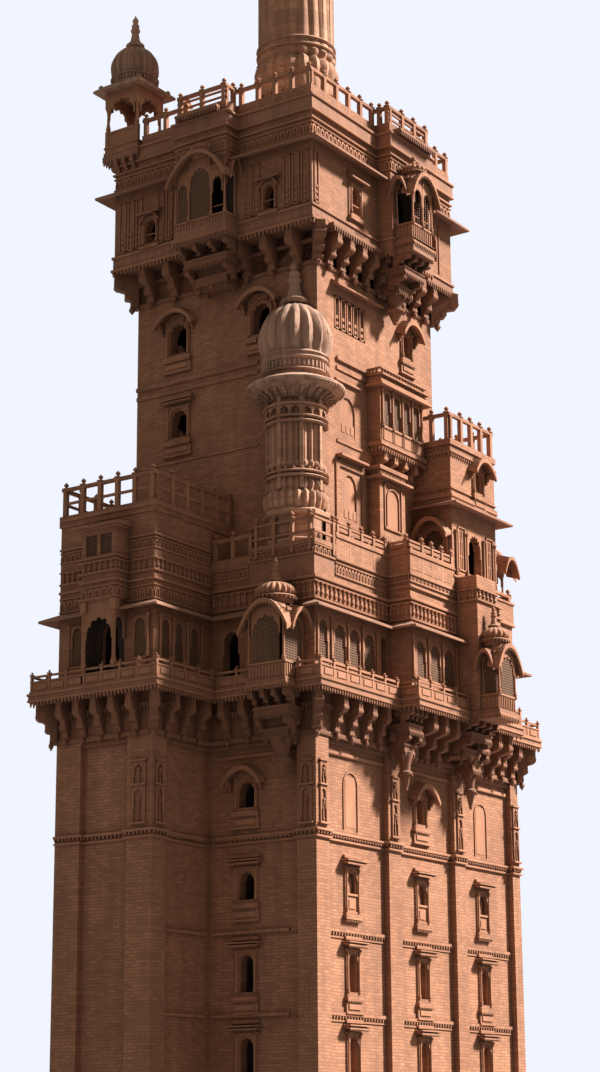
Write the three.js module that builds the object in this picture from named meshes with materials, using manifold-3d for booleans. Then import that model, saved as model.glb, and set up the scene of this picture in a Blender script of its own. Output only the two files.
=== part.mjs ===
// A sandstone palace tower with a fluted minaret on its roof, as a 1:2 scale model.
// Every size below is one of the real building in millimetres; the outer group scales them down.
// X runs along the sunlit front to the right, Y into the building, Z up from the ground.
import * as THREE from "three";
import { mergeVertices } from "three/addons/utils/BufferGeometryUtils.js";
import Module from "manifold-3d";

const wasm = await Module();
wasm.setup();

// Driving dimensions
const MODEL_SCALE = 1 / 2;
const JOINT = 0.6;
const BODY = { x0: 0, x1: 15200, y0: 0, y1: 10400, recess: 250, wall: 1100 };
const WING = { x0: -3560, y0: 4820, y1: 9400, recess: 250, wall: 600 };
const MID = { wall: 550 };
const BAY = { x0: 5150, x1: 8650, y0: -1050, wall: 450 };
const STEP = { x1: 10200, y0: -2050, right: 12300, wall: 350, cap: 24100 };
const SHAFT = { x0: 1400, x1: 10100, y0: 700, y1: 9700, wall: 600 };
const PAVILION = { x0: 8500, x1: 12100, y0: -1050, y1: 3200, wall: 350 };
const TOP = { x0: 500, x1: 11300, y0: 300, y1: 10300, wall: 450 };
const TOP_WEST_BAY = { x0: -280, y0: 3960, y1: 6500 };
const TOP_SOUTH_BAY = { y0: -400, x0: 5300, x1: 8450 };
const TURRET = { x: 1200, y: 1620 };
const CHHATRI = { x: 1180, y: 9900, half: 880, base: 920, eave: 360 };
const MINARET = { x: 6350, y: 5000, radius: 1675 };

// Heights above the ground
const PLINTH = 600;
const STRINGS = [3600, 6600, 9600, 13100];
const BED = 16600;
const SLAB = 18200;
const BALCONY = 18530;
const BALCONY_RAIL = 19200;
const CHAJJA = { attach: 21650, edge: 21280, reach: 580, thick: 90 };
const TERRACE_SOFFIT = 23100;
const TERRACE = 23500;
const TERRACE_RAIL = 24800;
const WING_ROOF = 25100;
const WING_RAIL = 26700;
const SHAFT_LINE = 28800;
const SHAFT_STRING = 31700;
const CORBEL = 35100;
const TOP_SOFFIT = 37260;
const TOP_FLOOR = 37860;
const TOP_CHAJJA = { attach: 40900, edge: 40500, reach: 620, thick: 90 };
const ROOF_SOFFIT = 42000;
const ROOF = 42600;
const ROOF_PANEL = 43150;
const ROOF_RAIL = 43900;
const PAVILION_TOP = 27550;
const BLOCK_TOP = 29750;

// Solids from three.js geometry
function solid(geometry, matrix = new THREE.Matrix4()) {
  const bare = geometry.index ? geometry.toNonIndexed() : geometry.clone();
  bare.deleteAttribute("normal");
  bare.deleteAttribute("uv");
  bare.applyMatrix4(matrix);
  const merged = mergeVertices(bare, 0.02);
  const triVerts = new Uint32Array(merged.index.array);
  const vertProperties = merged.attributes.position.array;
  if (matrix.determinant() < 0) flip(triVerts);
  if (signedVolume(vertProperties, triVerts) < 0) flip(triVerts);
  return new wasm.Manifold(new wasm.Mesh({ numProp: 3, vertProperties, triVerts }));
}

function flip(triVerts) {
  for (let i = 0; i < triVerts.length; i += 3) {
    [triVerts[i + 1], triVerts[i + 2]] = [triVerts[i + 2], triVerts[i + 1]];
  }
}

function signedVolume(vertices, triVerts) {
  const corner = (i) => new THREE.Vector3().fromArray(vertices, 3 * triVerts[i]);
  const base = corner(0);
  let six = 0;
  for (let i = 0; i < triVerts.length; i += 3) {
    const [a, b, c] = [corner(i), corner(i + 1), corner(i + 2)].map((p) => p.sub(base));
    six += a.dot(b.cross(c));
  }
  return six;
}

const union = (...parts) => parts.flat(Infinity).reduce((a, b) => a.add(b));
const carve = (body, ...cutters) => cutters.flat(Infinity).reduce((a, b) => a.subtract(b), body);

function block(x0, x1, y0, y1, z0, z1) {
  const box = new THREE.BoxGeometry(x1 - x0, y1 - y0, z1 - z0);
  return solid(box.translate((x0 + x1) / 2, (y0 + y1) / 2, (z0 + z1) / 2));
}

// An outline of two coordinates, raised along the third.
function extruded(outline, depth) {
  const shape = new THREE.Shape(outline.map(([u, v]) => new THREE.Vector2(u, v)));
  return new THREE.ExtrudeGeometry(shape, { depth, bevelEnabled: false });
}

// A plan outline raised from z0 to z1.
function plan(outline, z0, z1) {
  return solid(extruded(outline, z1 - z0).translate(0, 0, z0));
}

// A turned piece: profile points are radius and height.
function turned(profile, x, y, segments = 16) {
  const points = profile.map(([r, z]) => new THREE.Vector2(r, z));
  const lathe = new THREE.LatheGeometry(points, segments);
  return solid(lathe.rotateX(Math.PI / 2).rotateZ(Math.PI / segments).translate(x, y, 0));
}

const UP = new THREE.Vector3(0, 0, 1);

// One vertical face of the building. u runs along it and out away from it.
class Face {
  constructor(along, outward, origin) {
    this.along = new THREE.Vector3(...along);
    this.outward = new THREE.Vector3(...outward);
    this.origin = new THREE.Vector3(...origin);
  }

  // An outline in u and z, thick from out = near to out = far, with holes cut right through it.
  // A drop lowers its far end.
  slab(outline, holes, near, far, drop = 0) {
    const depth = far - near;
    const shear = new THREE.Matrix4().set(1, 0, 0, 0, 0, 1, -drop / depth, 0, 0, 0, 1, 0, 0, 0, 0, 1);
    const raised = extruded(outline, depth).applyMatrix4(shear).translate(0, 0, near);
    const frame = new THREE.Matrix4().makeBasis(this.along, UP, this.outward);
    const body = solid(raised, frame.setPosition(this.origin));
    return carve(body, holes.map((hole) => this.slab(hole, [], near - 1, far + 1)));
  }

  // An outline in out and z, thick from u0 to u1, with holes cut right through it.
  rib(outline, u0, u1, holes = []) {
    const raised = extruded(outline, u1 - u0).translate(0, 0, u0);
    const frame = new THREE.Matrix4().makeBasis(this.outward, UP, this.along);
    const body = solid(raised, frame.setPosition(this.origin));
    return carve(body, holes.map((hole) => this.rib(hole, u0 - 1, u1 + 1)));
  }

  box(u0, u1, near, far, z0, z1) {
    return this.slab(rect(u0, u1, z0, z1), [], near, far);
  }

  // A turned piece that stands in front of the face.
  turned(profile, u, out, segments) {
    const at = this.origin.clone().addScaledVector(this.along, u).addScaledVector(this.outward, out);
    return turned(profile, at.x, at.y, segments);
  }
}

const front = (y) => new Face([1, 0, 0], [0, -1, 0], [0, y, 0]);
const back = (y) => new Face([1, 0, 0], [0, 1, 0], [0, y, 0]);
const west = (x) => new Face([0, 1, 0], [-1, 0, 0], [x, 0, 0]);
const east = (x) => new Face([0, 1, 0], [1, 0, 0], [x, 0, 0]);

const rect = (u0, u1, z0, z1) => [[u0, z0], [u1, z0], [u1, z1], [u0, z1]];

// A round-headed opening, slightly pointed at the crown.
function arch(u0, u1, z0, z1, steps = 5) {
  const half = (u1 - u0) / 2;
  const centre = (u0 + u1) / 2;
  const rise = half * 1.1;
  const points = [[u0, z0], [u1, z0]];
  for (let i = 0; i <= steps; i++) {
    const angle = (Math.PI * i) / steps;
    points.push([centre + half * Math.cos(angle), z1 - rise + rise * Math.sin(angle)]);
  }
  return points;
}

// A run of mouldings, rails or eaves: the profile, in out and z, follows a plan path with mitred
// corners. The outside lies to the right of the path's direction.
function run(path, profile, closed = false) {
  const count = path.length;
  const normals = path.map(([x, y], i) => {
    const [nx, ny] = path[(i + 1) % count];
    const length = Math.hypot(nx - x, ny - y);
    return [(ny - y) / length, (x - nx) / length];
  });
  const rings = path.map(([x, y], i) => {
    const after = normals[!closed && i === count - 1 ? i - 1 : i];
    const before = normals[i > 0 ? i - 1 : closed ? count - 1 : 0];
    const share = 1 + before[0] * after[0] + before[1] * after[1];
    const mitre = [(before[0] + after[0]) / share, (before[1] + after[1]) / share];
    return profile.map(([out, z]) => [x + mitre[0] * out, y + mitre[1] * out, z]);
  });
  const size = profile.length;
  const index = [];
  for (let i = 0; i < (closed ? count : count - 1); i++) {
    const [here, next] = [i * size, ((i + 1) % count) * size];
    for (let j = 0; j < size; j++) {
      const k = (j + 1) % size;
      index.push(here + j, next + j, next + k, here + j, next + k, here + k);
    }
  }
  if (!closed) {
    const contour = profile.map(([out, z]) => new THREE.Vector2(out, z));
    const anticlockwise = !THREE.ShapeUtils.isClockWise(contour);
    const last = (count - 1) * size;
    for (const [a, b, c] of THREE.ShapeUtils.triangulateShape(contour, [])) {
      if (anticlockwise) index.push(a, b, c, last + b, last + a, last + c);
      else index.push(b, a, c, last + a, last + b, last + c);
    }
  }
  const geometry = new THREE.BufferGeometry();
  geometry.setAttribute("position", new THREE.Float32BufferAttribute(rings.flat(2), 3));
  geometry.setIndex(index);
  return solid(geometry);
}

const strip = (near, far, z0, z1) => [[near, z0], [far, z0], [far, z1], [near, z1]];

// A sloping stone eave.
function eave(path, { attach, edge, reach, thick }) {
  const profile = [[JOINT, attach - 2 * thick], [reach, edge], [reach, edge + thick], [JOINT, attach]];
  return run(path, profile);
}

// Points along a plan path, spaced evenly between its corners.
function along(path, spacing, inset = 0) {
  const places = [];
  for (let i = 0; i + 1 < path.length; i++) {
    const [x0, y0] = path[i];
    const [x1, y1] = path[i + 1];
    const length = Math.hypot(x1 - x0, y1 - y0);
    const direction = [(x1 - x0) / length, (y1 - y0) / length];
    const steps = Math.max(1, Math.round((length - 2 * inset) / spacing));
    for (let k = 0; k <= steps; k++) {
      const t = inset + ((length - 2 * inset) * k) / steps;
      places.push({ x: x0 + direction[0] * t, y: y0 + direction[1] * t, direction });
    }
  }
  return places;
}

// A railing: square posts and a rail over them.
function railing(path, foot, rail, spacing, offset = -90) {
  const half = 70;
  const posts = along(path, spacing, 160).map(({ x, y, direction }) => {
    const [px, py] = [x + direction[1] * offset, y - direction[0] * offset];
    return block(px - half, px + half, py - half, py + half, foot, rail - 50);
  });
  return union(run(path, strip(offset - half - 10, offset + half + 10, rail - 130, rail)), posts);
}

// A curved bracket that reaches out under a slab.
function bracket(face, u, reach, z0, z1, width = 200) {
  const height = z1 - z0;
  const outline = [
    [-1, z0], [0.25 * reach, z0 + 0.25 * height], [0.6 * reach, z0 + 0.45 * height],
    [reach, z0 + 0.85 * height], [reach, z1], [-1, z1],
  ];
  return face.rib(outline, u - width / 2, u + width / 2);
}

// A hanging corbel: stepped tiers that shrink downwards and end in a drop.
function pendant(face, u, half, reach, top, tiers, tier) {
  const solids = [];
  let shrink = 1;
  for (let i = 0; i < tiers; i++) {
    shrink = 1 - i / (tiers + 0.6);
    const z1 = top - i * tier;
    const near = z1 - tier > BED + tier ? -1 : JOINT;
    solids.push(face.box(u - half * shrink, u + half * shrink, near, reach * shrink, z1 - tier - 1, z1));
  }
  const low = top - tiers * tier;
  const drop = [
    [0, low - 420], [70, low - 340], [130, low - 180], [60, low - 90], [150, low + 1], [0, low + 1],
  ];
  solids.push(face.turned(drop, u, Math.max(reach * shrink * 0.55, 160), 8));
  return union(solids);
}

// The bowed hood over a window: an arched band that droops to its tips and slopes outwards.
function hood(face, u, half, tip, rise, reach, thick = 90, drop = 160) {
  const steps = 8;
  const bow = (t) => tip + rise * (1 - Math.abs(t) ** 2.2);
  const over = [];
  const under = [];
  for (let i = 0; i <= steps; i++) {
    const t = (2 * i) / steps - 1;
    over.push([u - half * t, bow(t) + thick]);
    under.push([u + half * t * 0.97, bow(t)]);
  }
  return face.slab([...under, ...over], [], -1, reach, drop);
}

// A ribbed dome with its collar and finial, as a turned profile on its centre line.
function domeProfile(radius, z0, z1, tip) {
  const height = z1 - z0;
  const profile = [[0, z0], [radius * 0.86, z0], [radius * 0.98, z0 + height * 0.16]];
  for (const angle of [20, 42, 62, 78]) {
    const a = THREE.MathUtils.degToRad(angle);
    profile.push([radius * Math.cos(a), z0 + height * (0.28 + 0.68 * Math.sin(a))]);
  }
  const finial = tip - z1;
  profile.push([radius * 0.2, z1 + finial * 0.04], [radius * 0.22, z1 + finial * 0.14]);
  profile.push([radius * 0.1, z1 + finial * 0.26], [radius * 0.15, z1 + finial * 0.42]);
  profile.push([radius * 0.05, z1 + finial * 0.62], [0, tip]);
  return profile;
}

// A window: its sill, its frame, its flat or bowed head, and the hole that is cut for it. A blind one
// is only a shallow recess.
function windowAt(face, u, width, z0, z1, options = {}) {
  const { head = "flat", open = true, depth = 1300, rim = 140, sill = 180, framed = true } = options;
  const half = width / 2;
  const proud = 70;
  const edge = rect(u - half - rim, u + half + rim, z0 - rim, z1 + rim);
  const opening = arch(u - half, u + half, z0, z1, 4);
  const solids = framed ? [face.slab(edge, [opening], -1, proud)] : [];
  solids.push(face.box(u - half - 220, u + half + 220, -1, 170, z0 - rim - sill, z0 - rim));
  if (head === "flat") {
    const slope = [[-1, z1 + 400], [-1, z1 + 270], [330, z1 + rim + 40], [330, z1 + rim + 110]];
    solids.push(face.rib(slope, u - half - 330, u + half + 330));
  } else {
    solids.push(hood(face, u, half + 480, z1 - 130, 620, 420));
  }
  const hole = face.slab(opening, [], open ? -depth : -140, 1);
  return { solids: union(solids), hole };
}

// Puts windows on a wall. All the trim is joined before the first hole is cut.
function withWindows(body, windows) {
  return carve(union(body, windows.map((w) => w.solids)), windows.map((w) => w.hole));
}

// The lower body
const bodyInner = {
  x0: BODY.x0 + BODY.recess + BODY.wall, x1: BODY.x1 - BODY.recess - BODY.wall,
  y0: BODY.y0 + BODY.recess + BODY.wall, y1: BODY.y1 - BODY.recess - BODY.wall,
};
const PIERS = [[4950, 5800], [9900, 10700]];
const CORNER_PIER = 850;
const BAY_CENTRES = [2650, 7650, 12400];
const ROW_A = [14080, 15180];
const ROW_B = [10300, 11800];
const ROW_C = [7350, 8800];
const ROW_D = [4350, 5800];
const foot = PLINTH + JOINT;
const head = SLAB - JOINT;

function plinth() {
  const proud = 150;
  const outline = [
    [BODY.x0 - proud, BODY.y0 - proud], [BODY.x1 + proud, BODY.y0 - proud],
    [BODY.x1 + proud, BODY.y1 + proud], [BODY.x0 - proud, BODY.y1 + proud],
    [BODY.x0 - proud, WING.y1 + proud], [WING.x0 - proud, WING.y1 + proud],
    [WING.x0 - proud, WING.y0 - proud], [BODY.x0 - proud, WING.y0 - proud],
  ];
  return plan(outline, 0, PLINTH);
}

// The string courses of one wall between its piers.
function strings(face, spans) {
  return spans.flatMap(([u0, u1]) => STRINGS.map((z) => face.box(u0, u1, -1, 90, z - 130, z)));
}

function lowerFrontWall() {
  const face = front(BODY.recess);
  const right = BODY.x1 - BODY.recess;
  const door = arch(6800, 8500, foot - 10, 3200);
  let wall = face.slab(rect(BODY.recess, right, foot, head), [], -BODY.wall, 0);
  const piers = PIERS.map(([u0, u1]) => face.box(u0, u1, -1, BODY.recess, foot, BED));
  const corners = [
    block(BODY.x0, CORNER_PIER, BODY.y0, CORNER_PIER, foot, BED),
    block(14600, BODY.x1, BODY.y0, CORNER_PIER, foot, BED),
  ];
  const spans = [[CORNER_PIER, 4950], [5800, 9900], [10700, 14600]];
  const windows = BAY_CENTRES.flatMap((u, i) => [
    ...(i === 1 ? [windowAt(face, u, 720, ...ROW_A, { head: "hood" })] : []),
    windowAt(face, u, 700, ...ROW_B, { open: false }),
    windowAt(face, u, 640, ...ROW_C),
    windowAt(face, u, 640, ...ROW_D),
  ]);
  wall = withWindows(union(wall, piers, corners, strings(face, spans)), windows);
  const niches = [BAY_CENTRES[0], BAY_CENTRES[2]].map((u) => {
    return face.slab(arch(u - 330, u + 330, 13500, 15300), [], -120, 1);
  });
  return carve(wall, niches, face.slab(door, [], -BODY.wall - 1, 1));
}

function lowerWestWall() {
  const face = west(BODY.recess);
  const [u0, u1] = [bodyInner.y0 + JOINT, bodyInner.y1 - JOINT];
  const wall = face.slab(rect(u0, u1, foot, head), [], -BODY.wall, 0);
  const windows = [
    windowAt(face, 3300, 800, 14140, 15200, { head: "hood" }),
    windowAt(face, 3300, 800, 10720, 11830),
    windowAt(face, 3300, 700, ...ROW_C),
    windowAt(face, 3300, 700, ...ROW_D),
  ];
  return withWindows(union(wall, strings(face, [[u0, WING.y0 - JOINT]])), windows);
}

function lowerRearWalls() {
  const eastFace = east(BODY.x1 - BODY.recess);
  const backFace = back(BODY.y1 - BODY.recess);
  const [edge, inner] = [BODY.x1 - BODY.recess, bodyInner.y0 + JOINT];
  const walls = [
    eastFace.slab(rect(inner, BODY.y1 - BODY.recess, foot, head), [], -BODY.wall, 0),
    backFace.slab(rect(BODY.recess, edge, foot, head), [], -BODY.wall, 0),
    block(14600, BODY.x1, BODY.y1 - CORNER_PIER, BODY.y1, foot, BED),
    block(BODY.x0, CORNER_PIER, BODY.y1 - CORNER_PIER, BODY.y1, foot, BED),
    PIERS.map(([u0, u1]) => backFace.box(u0, u1, -1, BODY.recess, foot, BED)),
    strings(backFace, [[CORNER_PIER, 4950], [5800, 9900], [10700, 14600]]),
    strings(eastFace, [[inner, BODY.y1 - CORNER_PIER]]),
  ];
  const windows = [ROW_A, ROW_B, ROW_C, ROW_D].flatMap((row) => [
    windowAt(eastFace, 5200, 720, ...row, { framed: false }),
    ...BAY_CENTRES.map((u) => windowAt(backFace, u, 700, ...row, { framed: false })),
  ]);
  return withWindows(union(walls), windows);
}

function westBayLowerWalls() {
  const { x0, y0, y1, recess, wall } = WING;
  const inset = { x0: x0 + recess, y0: y0 + recess, y1: y1 - recess };
  const end = BODY.recess - JOINT;
  const walls = [
    block(inset.x0, end, inset.y0, inset.y0 + wall, foot, head),
    block(inset.x0, inset.x0 + wall, inset.y0, inset.y1, foot, head),
    block(inset.x0, end, inset.y1 - wall, inset.y1, foot, head),
    block(x0, x0 + 860, y0, y0 + 1180, foot, BED),
    block(x0, x0 + 860, y1 - 1180, y1, foot, BED),
  ];
  const inside = block(inset.x0 + wall, end + 1, inset.y0 + wall, inset.y1 - wall, foot - 1, head + 1);
  const spans = strings(front(inset.y0), [[x0 + 860, -JOINT]]);
  return carve(union(walls, spans), inside);
}

function lowerFloor(top) {
  const gap = JOINT;
  return block(bodyInner.x0 + gap, bodyInner.x1 - gap, bodyInner.y0 + gap, bodyInner.y1 - gap, top - 300, top);
}

// The balcony round the body: its outline, from the domed window on the front round to the back
const OVERHANG = 800;
const wallPath = [
  [BODY.x0, BODY.y0], [BODY.x1, BODY.y0], [BODY.x1, BODY.y1], [BODY.x0, BODY.y1],
  [BODY.x0, WING.y1], [WING.x0, WING.y1], [WING.x0, WING.y0], [BODY.x0, WING.y0],
];
const JHAROKHA_W = { y0: 430, y1: 2080, x: -1350 };
const JHAROKHA_S = { x0: 8750, x1: 10100, y: -2850 };
const balconyEdge = {
  west: BODY.x0 - OVERHANG, south: BODY.y0 - OVERHANG, east: BODY.x1 + OVERHANG, north: BODY.y1 + OVERHANG,
  wingWest: WING.x0 - OVERHANG, wingSouth: WING.y0 - OVERHANG, wingNorth: WING.y1 + OVERHANG,
  bayWest: 4700, bay: -1650, bayEast: 12900,
};

function balconySlab() {
  const e = balconyEdge;
  const outline = [
    [e.west, e.south], [e.bayWest, e.south], [e.bayWest, e.bay], [BAY.x1 - 60, e.bay],
    [BAY.x1 - 60, STEP.y0 - 60], [JHAROKHA_S.x0 - 80, STEP.y0 - 60],
    [JHAROKHA_S.x0 - 80, JHAROKHA_S.y - 80], [JHAROKHA_S.x1 + 80, JHAROKHA_S.y - 80],
    [JHAROKHA_S.x1 + 80, STEP.y0 - 60], [STEP.x1 + 60, STEP.y0 - 60], [STEP.x1 + 60, e.bay],
    [e.bayEast, e.bay], [e.bayEast, e.south], [e.east, e.south], [e.east, e.north],
    [e.west, e.north], [e.west, e.wingNorth], [e.wingWest, e.wingNorth],
    [e.wingWest, e.wingSouth], [e.west, e.wingSouth], [e.west, JHAROKHA_W.y1 + 80],
    [JHAROKHA_W.x - 80, JHAROKHA_W.y1 + 80], [JHAROKHA_W.x - 80, JHAROKHA_W.y0 - 80],
    [e.west, JHAROKHA_W.y0 - 80],
  ];
  return plan(outline, SLAB, BALCONY);
}

function balconyBrackets() {
  const course = [
    [-BODY.recess + JOINT, BED + JOINT], [70, BED + JOINT], [70, BED + 180],
    [0, BED + 260], [0, head], [-BODY.recess + JOINT, head],
  ];
  const sides = [
    { face: front(0), spans: [[150, 4300], [13300, 15050]], reach: 720, pitch: 800 },
    { face: front(0), spans: [[5000, 8500], [11000, 12700]], reach: 1500, pitch: 800 },
    { face: west(0), spans: [[150, 200], [2900, 3900]], reach: 720, pitch: 800 },
    { face: front(WING.y0), spans: [[-3450, -900]], reach: 720, pitch: 800 },
    { face: west(WING.x0), spans: [[4950, 9250]], reach: 720, pitch: 800 },
    { face: back(WING.y1), spans: [[-3450, -900]], reach: 720, pitch: 1200 },
    { face: back(BODY.y1), spans: [[150, 15050]], reach: 720, pitch: 1500 },
    { face: east(BODY.x1), spans: [[150, 10250]], reach: 720, pitch: 1500 },
  ];
  const brackets = sides.flatMap(({ face, spans, reach, pitch }) => spans.flatMap(([u0, u1]) => {
    const steps = Math.max(1, Math.round((u1 - u0) / pitch));
    return Array.from({ length: steps + 1 }, (_, i) => {
      return bracket(face, u0 + ((u1 - u0) * i) / steps, reach, BED + 100, head);
    });
  }));
  const pendants = [
    pendant(west(0), (JHAROKHA_W.y0 + JHAROKHA_W.y1) / 2, 900, 1400, head, 5, 480),
    pendant(front(0), 5370, 560, 1250, head, 5, 560),
    pendant(front(0), 9430, 900, 2850, head, 6, 440),
    pendant(front(0), 10300, 560, 1250, head, 5, 600),
  ];
  return union(run(wallPath, course, true), brackets, pendants);
}

const parapetProfile = [
  [-170, BALCONY + JOINT], [-50, BALCONY + JOINT], [-50, BALCONY_RAIL - 110], [-20, BALCONY_RAIL - 90],
  [-20, BALCONY_RAIL], [-200, BALCONY_RAIL], [-200, BALCONY_RAIL - 90], [-170, BALCONY_RAIL - 110],
];

function balconyParapet() {
  const e = balconyEdge;
  const path = [
    [e.west, JHAROKHA_W.y0 - 50 - JOINT], [e.west, e.south], [e.bayWest, e.south],
    [e.bayWest, e.bay], [BAY.x1 - JOINT, e.bay],
  ];
  return run(path, parapetProfile);
}

function rearParapet() {
  const e = balconyEdge;
  const path = [
    [STEP.x1 + JOINT, e.bay], [e.bayEast, e.bay], [e.bayEast, e.south], [e.east, e.south],
    [e.east, e.north], [e.west, e.north], [e.west, e.wingNorth], [e.wingWest, e.wingNorth],
    [e.wingWest, e.wingSouth], [e.west, e.wingSouth], [e.west, JHAROKHA_W.y1 + 50 + JOINT],
  ];
  return run(path, parapetProfile);
}

// The middle storey: walls between the balcony and the terrace
const LIGHT = [19500, 21060];
const FRONT_LIGHTS = [[240, 880], [1290, 2120], [2330, 3110], [3380, 4170]];
const BAY_LIGHTS = [[5350, 6250], [6560, 7350], [7600, 8450]];
const WING_LIGHTS = [[-3110, -2560], [-2260, -1760], [-1320, -750]];
const midFoot = BALCONY + JOINT;
const midHead = TERRACE_SOFFIT - JOINT;
const lightsOf = (spans) => spans.map(([u0, u1]) => arch(u0, u1, ...LIGHT));

function midFrontWall() {
  const door = rect(4610, 5060, midFoot - 1, LIGHT[1]);
  const outline = rect(0, BAY.x0 - JOINT, midFoot, midHead);
  return front(0).slab(outline, [...lightsOf(FRONT_LIGHTS), door], -MID.wall, 0);
}

function midFrontWallRight() {
  const lights = lightsOf([[12900, 13600], [13900, 14500]]);
  return front(0).slab(rect(STEP.right + JOINT, BODY.x1, midFoot, midHead), lights, -MID.wall, 0);
}

function midWestWall() {
  const outline = rect(MID.wall + JOINT, WING.y0 - JOINT, midFoot, midHead);
  const doorways = [arch(640, 1900, midFoot - 1, 21230), arch(3450, 4250, midFoot - 1, 21000)];
  return west(0).slab(outline, doorways, -MID.wall, 0);
}

function midRearWalls() {
  const lights = (from, to) => {
    const count = Math.floor((to - from) / 1100);
    return Array.from({ length: count }, (_, i) => arch(from + i * 1100, from + i * 1100 + 640, ...LIGHT));
  };
  const eastWall = east(BODY.x1).slab(
    rect(MID.wall + JOINT, BODY.y1, midFoot, midHead), lights(1200, 9600), -MID.wall, 0,
  );
  const backWall = back(BODY.y1).slab(rect(0, BODY.x1, midFoot, midHead), lights(800, 14500), -MID.wall, 0);
  const stub = block(0, MID.wall, WING.y1 + JOINT, BODY.y1 - MID.wall, midFoot, midHead);
  return union(eastWall, backWall, stub);
}

function frontBay() {
  const face = front(BAY.y0);
  const panel = face.slab(rect(BAY.x0, BAY.x1 - JOINT, midFoot, midHead), lightsOf(BAY_LIGHTS), -BAY.wall, 0);
  const cheek = block(BAY.x0, BAY.x0 + BAY.wall, BAY.y0, MID.wall, midFoot, midHead);
  return union(panel, cheek);
}

function sideBay() {
  const { x1, y0, right, wall, cap } = STEP;
  const x0 = BAY.x1;
  const doorway = arch(9000, 9850, midFoot - 1, 21100);
  const walls = [
    block(x0, x0 + wall, y0, BAY.y0 + BAY.wall, midFoot, midHead),
    front(y0).slab(rect(x0, x1, midFoot, midHead), [doorway], -wall, 0),
    block(x1 - wall, x1, y0, BAY.y0 + BAY.wall, midFoot, midHead),
    block(x1 - wall, right, BAY.y0, BAY.y0 + BAY.wall, midFoot, midHead),
    block(right - BAY.wall, right, BAY.y0, MID.wall, midFoot, midHead),
    block(x0, x1, y0, BAY.y0 - JOINT, midHead - 1, cap),
  ];
  return union(walls);
}

// The west bay, one tall room from the balcony to its own roof
function westBayWalls() {
  const top = WING_ROOF - JOINT;
  const wall = 500;
  const { x0, y0, y1 } = WING;
  const end = SHAFT.x0 - JOINT;
  const sideOutline = [
    [x0, midFoot], [-JOINT, midFoot], [-JOINT, TERRACE + JOINT], [end, TERRACE + JOINT], [end, top], [x0, top],
  ];
  const south = front(y0).slab(sideOutline, lightsOf(WING_LIGHTS), -wall, 0);
  const north = front(y1).slab(sideOutline, [], 0, wall);
  const doorway = arch(6450, 7400, midFoot - 1, 21150);
  const window = rect(6250, 7500, 22300, 24300);
  const face = west(x0).slab(rect(y0, y1, midFoot, top), [window, doorway], -wall, 0);
  return union(south, north, face);
}

// A box window that stands on columns in front of the west bay
function westBayOriel() {
  const face = west(WING.x0 - JOINT);
  const [u0, u1, reach] = [6050, 7700, 790];
  const [z0, z1] = [21720, 24600];
  const shell = face.box(u0, u1, 0, reach, z0, z1);
  const inside = face.box(u0 + 130, u1 - 130, -1, reach - 130, z0 + 200, z1 - 150);
  const lights = [[6250, 6800], [6950, 7500]].map(([a, b]) => {
    return face.slab(rect(a, b, 23500, 24300), [], 0, reach + 1);
  });
  const cap = [[0, z1 + 260], [0, z1 - 1], [reach + 260, z1 - 40], [reach + 260, z1 + 40]];
  const columns = [u0 + 120, u1 - 120].map((u) => {
    const shaft = [
      [0, BALCONY_RAIL + JOINT], [100, BALCONY_RAIL + JOINT], [100, 19400], [75, 19480], [75, 21420],
      [120, 21560], [120, z0 + 10], [0, z0 + 10],
    ];
    return face.turned(shaft, u, reach - 110, 8);
  });
  return union(carve(shell, inside, lights), face.rib(cap, u0 - 200, u1 + 200), columns);
}

// A projecting balcony window with a floor, arched lights, a bowed hood and a small half dome
function jharokha(face, spec) {
  const { u0, u1, reach, floor, sill, arches, top, thick = 130, near = JOINT, front: lights } = spec;
  const centre = (u0 + u1) / 2;
  const cutters = [
    face.box(u0 + thick, u1 - thick, near - 50, reach - thick, floor + 140, top),
    face.rib(arch(near + 160, reach - thick - 60, sill, arches), u0 - 50, u1 + 50),
    lights.map(([a, b]) => face.slab(arch(a, b, sill, arches), [], reach - thick - 50, reach + 50)),
  ];
  const walls = carve(face.box(u0, u1, near, reach, floor, top + 60), cutters);
  const base = face.box(u0 - 50, u1 + 50, near, reach + 50, floor, floor + 140);
  const lid = face.box(u0 - 60, u1 + 60, near, reach + 60, top + 20, top + 120);
  return { centre, shell: union(walls, base, lid) };
}

// Cuts away whatever a jharokha's hood and dome reach behind its wall.
function trimmed(face, body, centre, z0) {
  return carve(body, face.box(centre - 1600, centre + 1600, -1600, JOINT, z0, z0 + 5000));
}

function westJharokha() {
  const face = west(0);
  const { y0, y1, x } = JHAROKHA_W;
  const { centre, shell } = jharokha(face, {
    u0: y0, u1: y1, reach: -x, floor: BALCONY + JOINT, sill: 19100, arches: 20950, top: 21080,
    front: [[y0 + 200, y1 - 200]],
  });
  const bow = hood(face, centre, 1130, 20430, 1150, -x + 250);
  const dome = face.turned(domeProfile(800, 21600, 22350, 22850), centre, 700, 16);
  const drum = face.box(centre - 650, centre + 650, 0, 1300, 21150, 21650);
  return trimmed(face, union(shell, bow, dome, drum), centre, BALCONY);
}

function frontJharokha() {
  const face = front(STEP.y0);
  const { x0, x1, y } = JHAROKHA_S;
  const reach = STEP.y0 - y;
  const { centre, shell } = jharokha(face, {
    u0: x0, u1: x1, reach, floor: BALCONY + JOINT, sill: 19100, arches: 20900, top: 21050,
    front: [[x0 + 180, x1 - 180]],
  });
  const bow = hood(face, centre, 980, 20500, 1050, reach + 260);
  const dome = face.turned(domeProfile(600, 21800, 22450, 23000), centre, 120, 16);
  const drum = face.box(centre - 480, centre + 480, 0, 560, 21120, 21850);
  return trimmed(face, union(shell, bow, dome, drum), centre, BALCONY);
}

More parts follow.
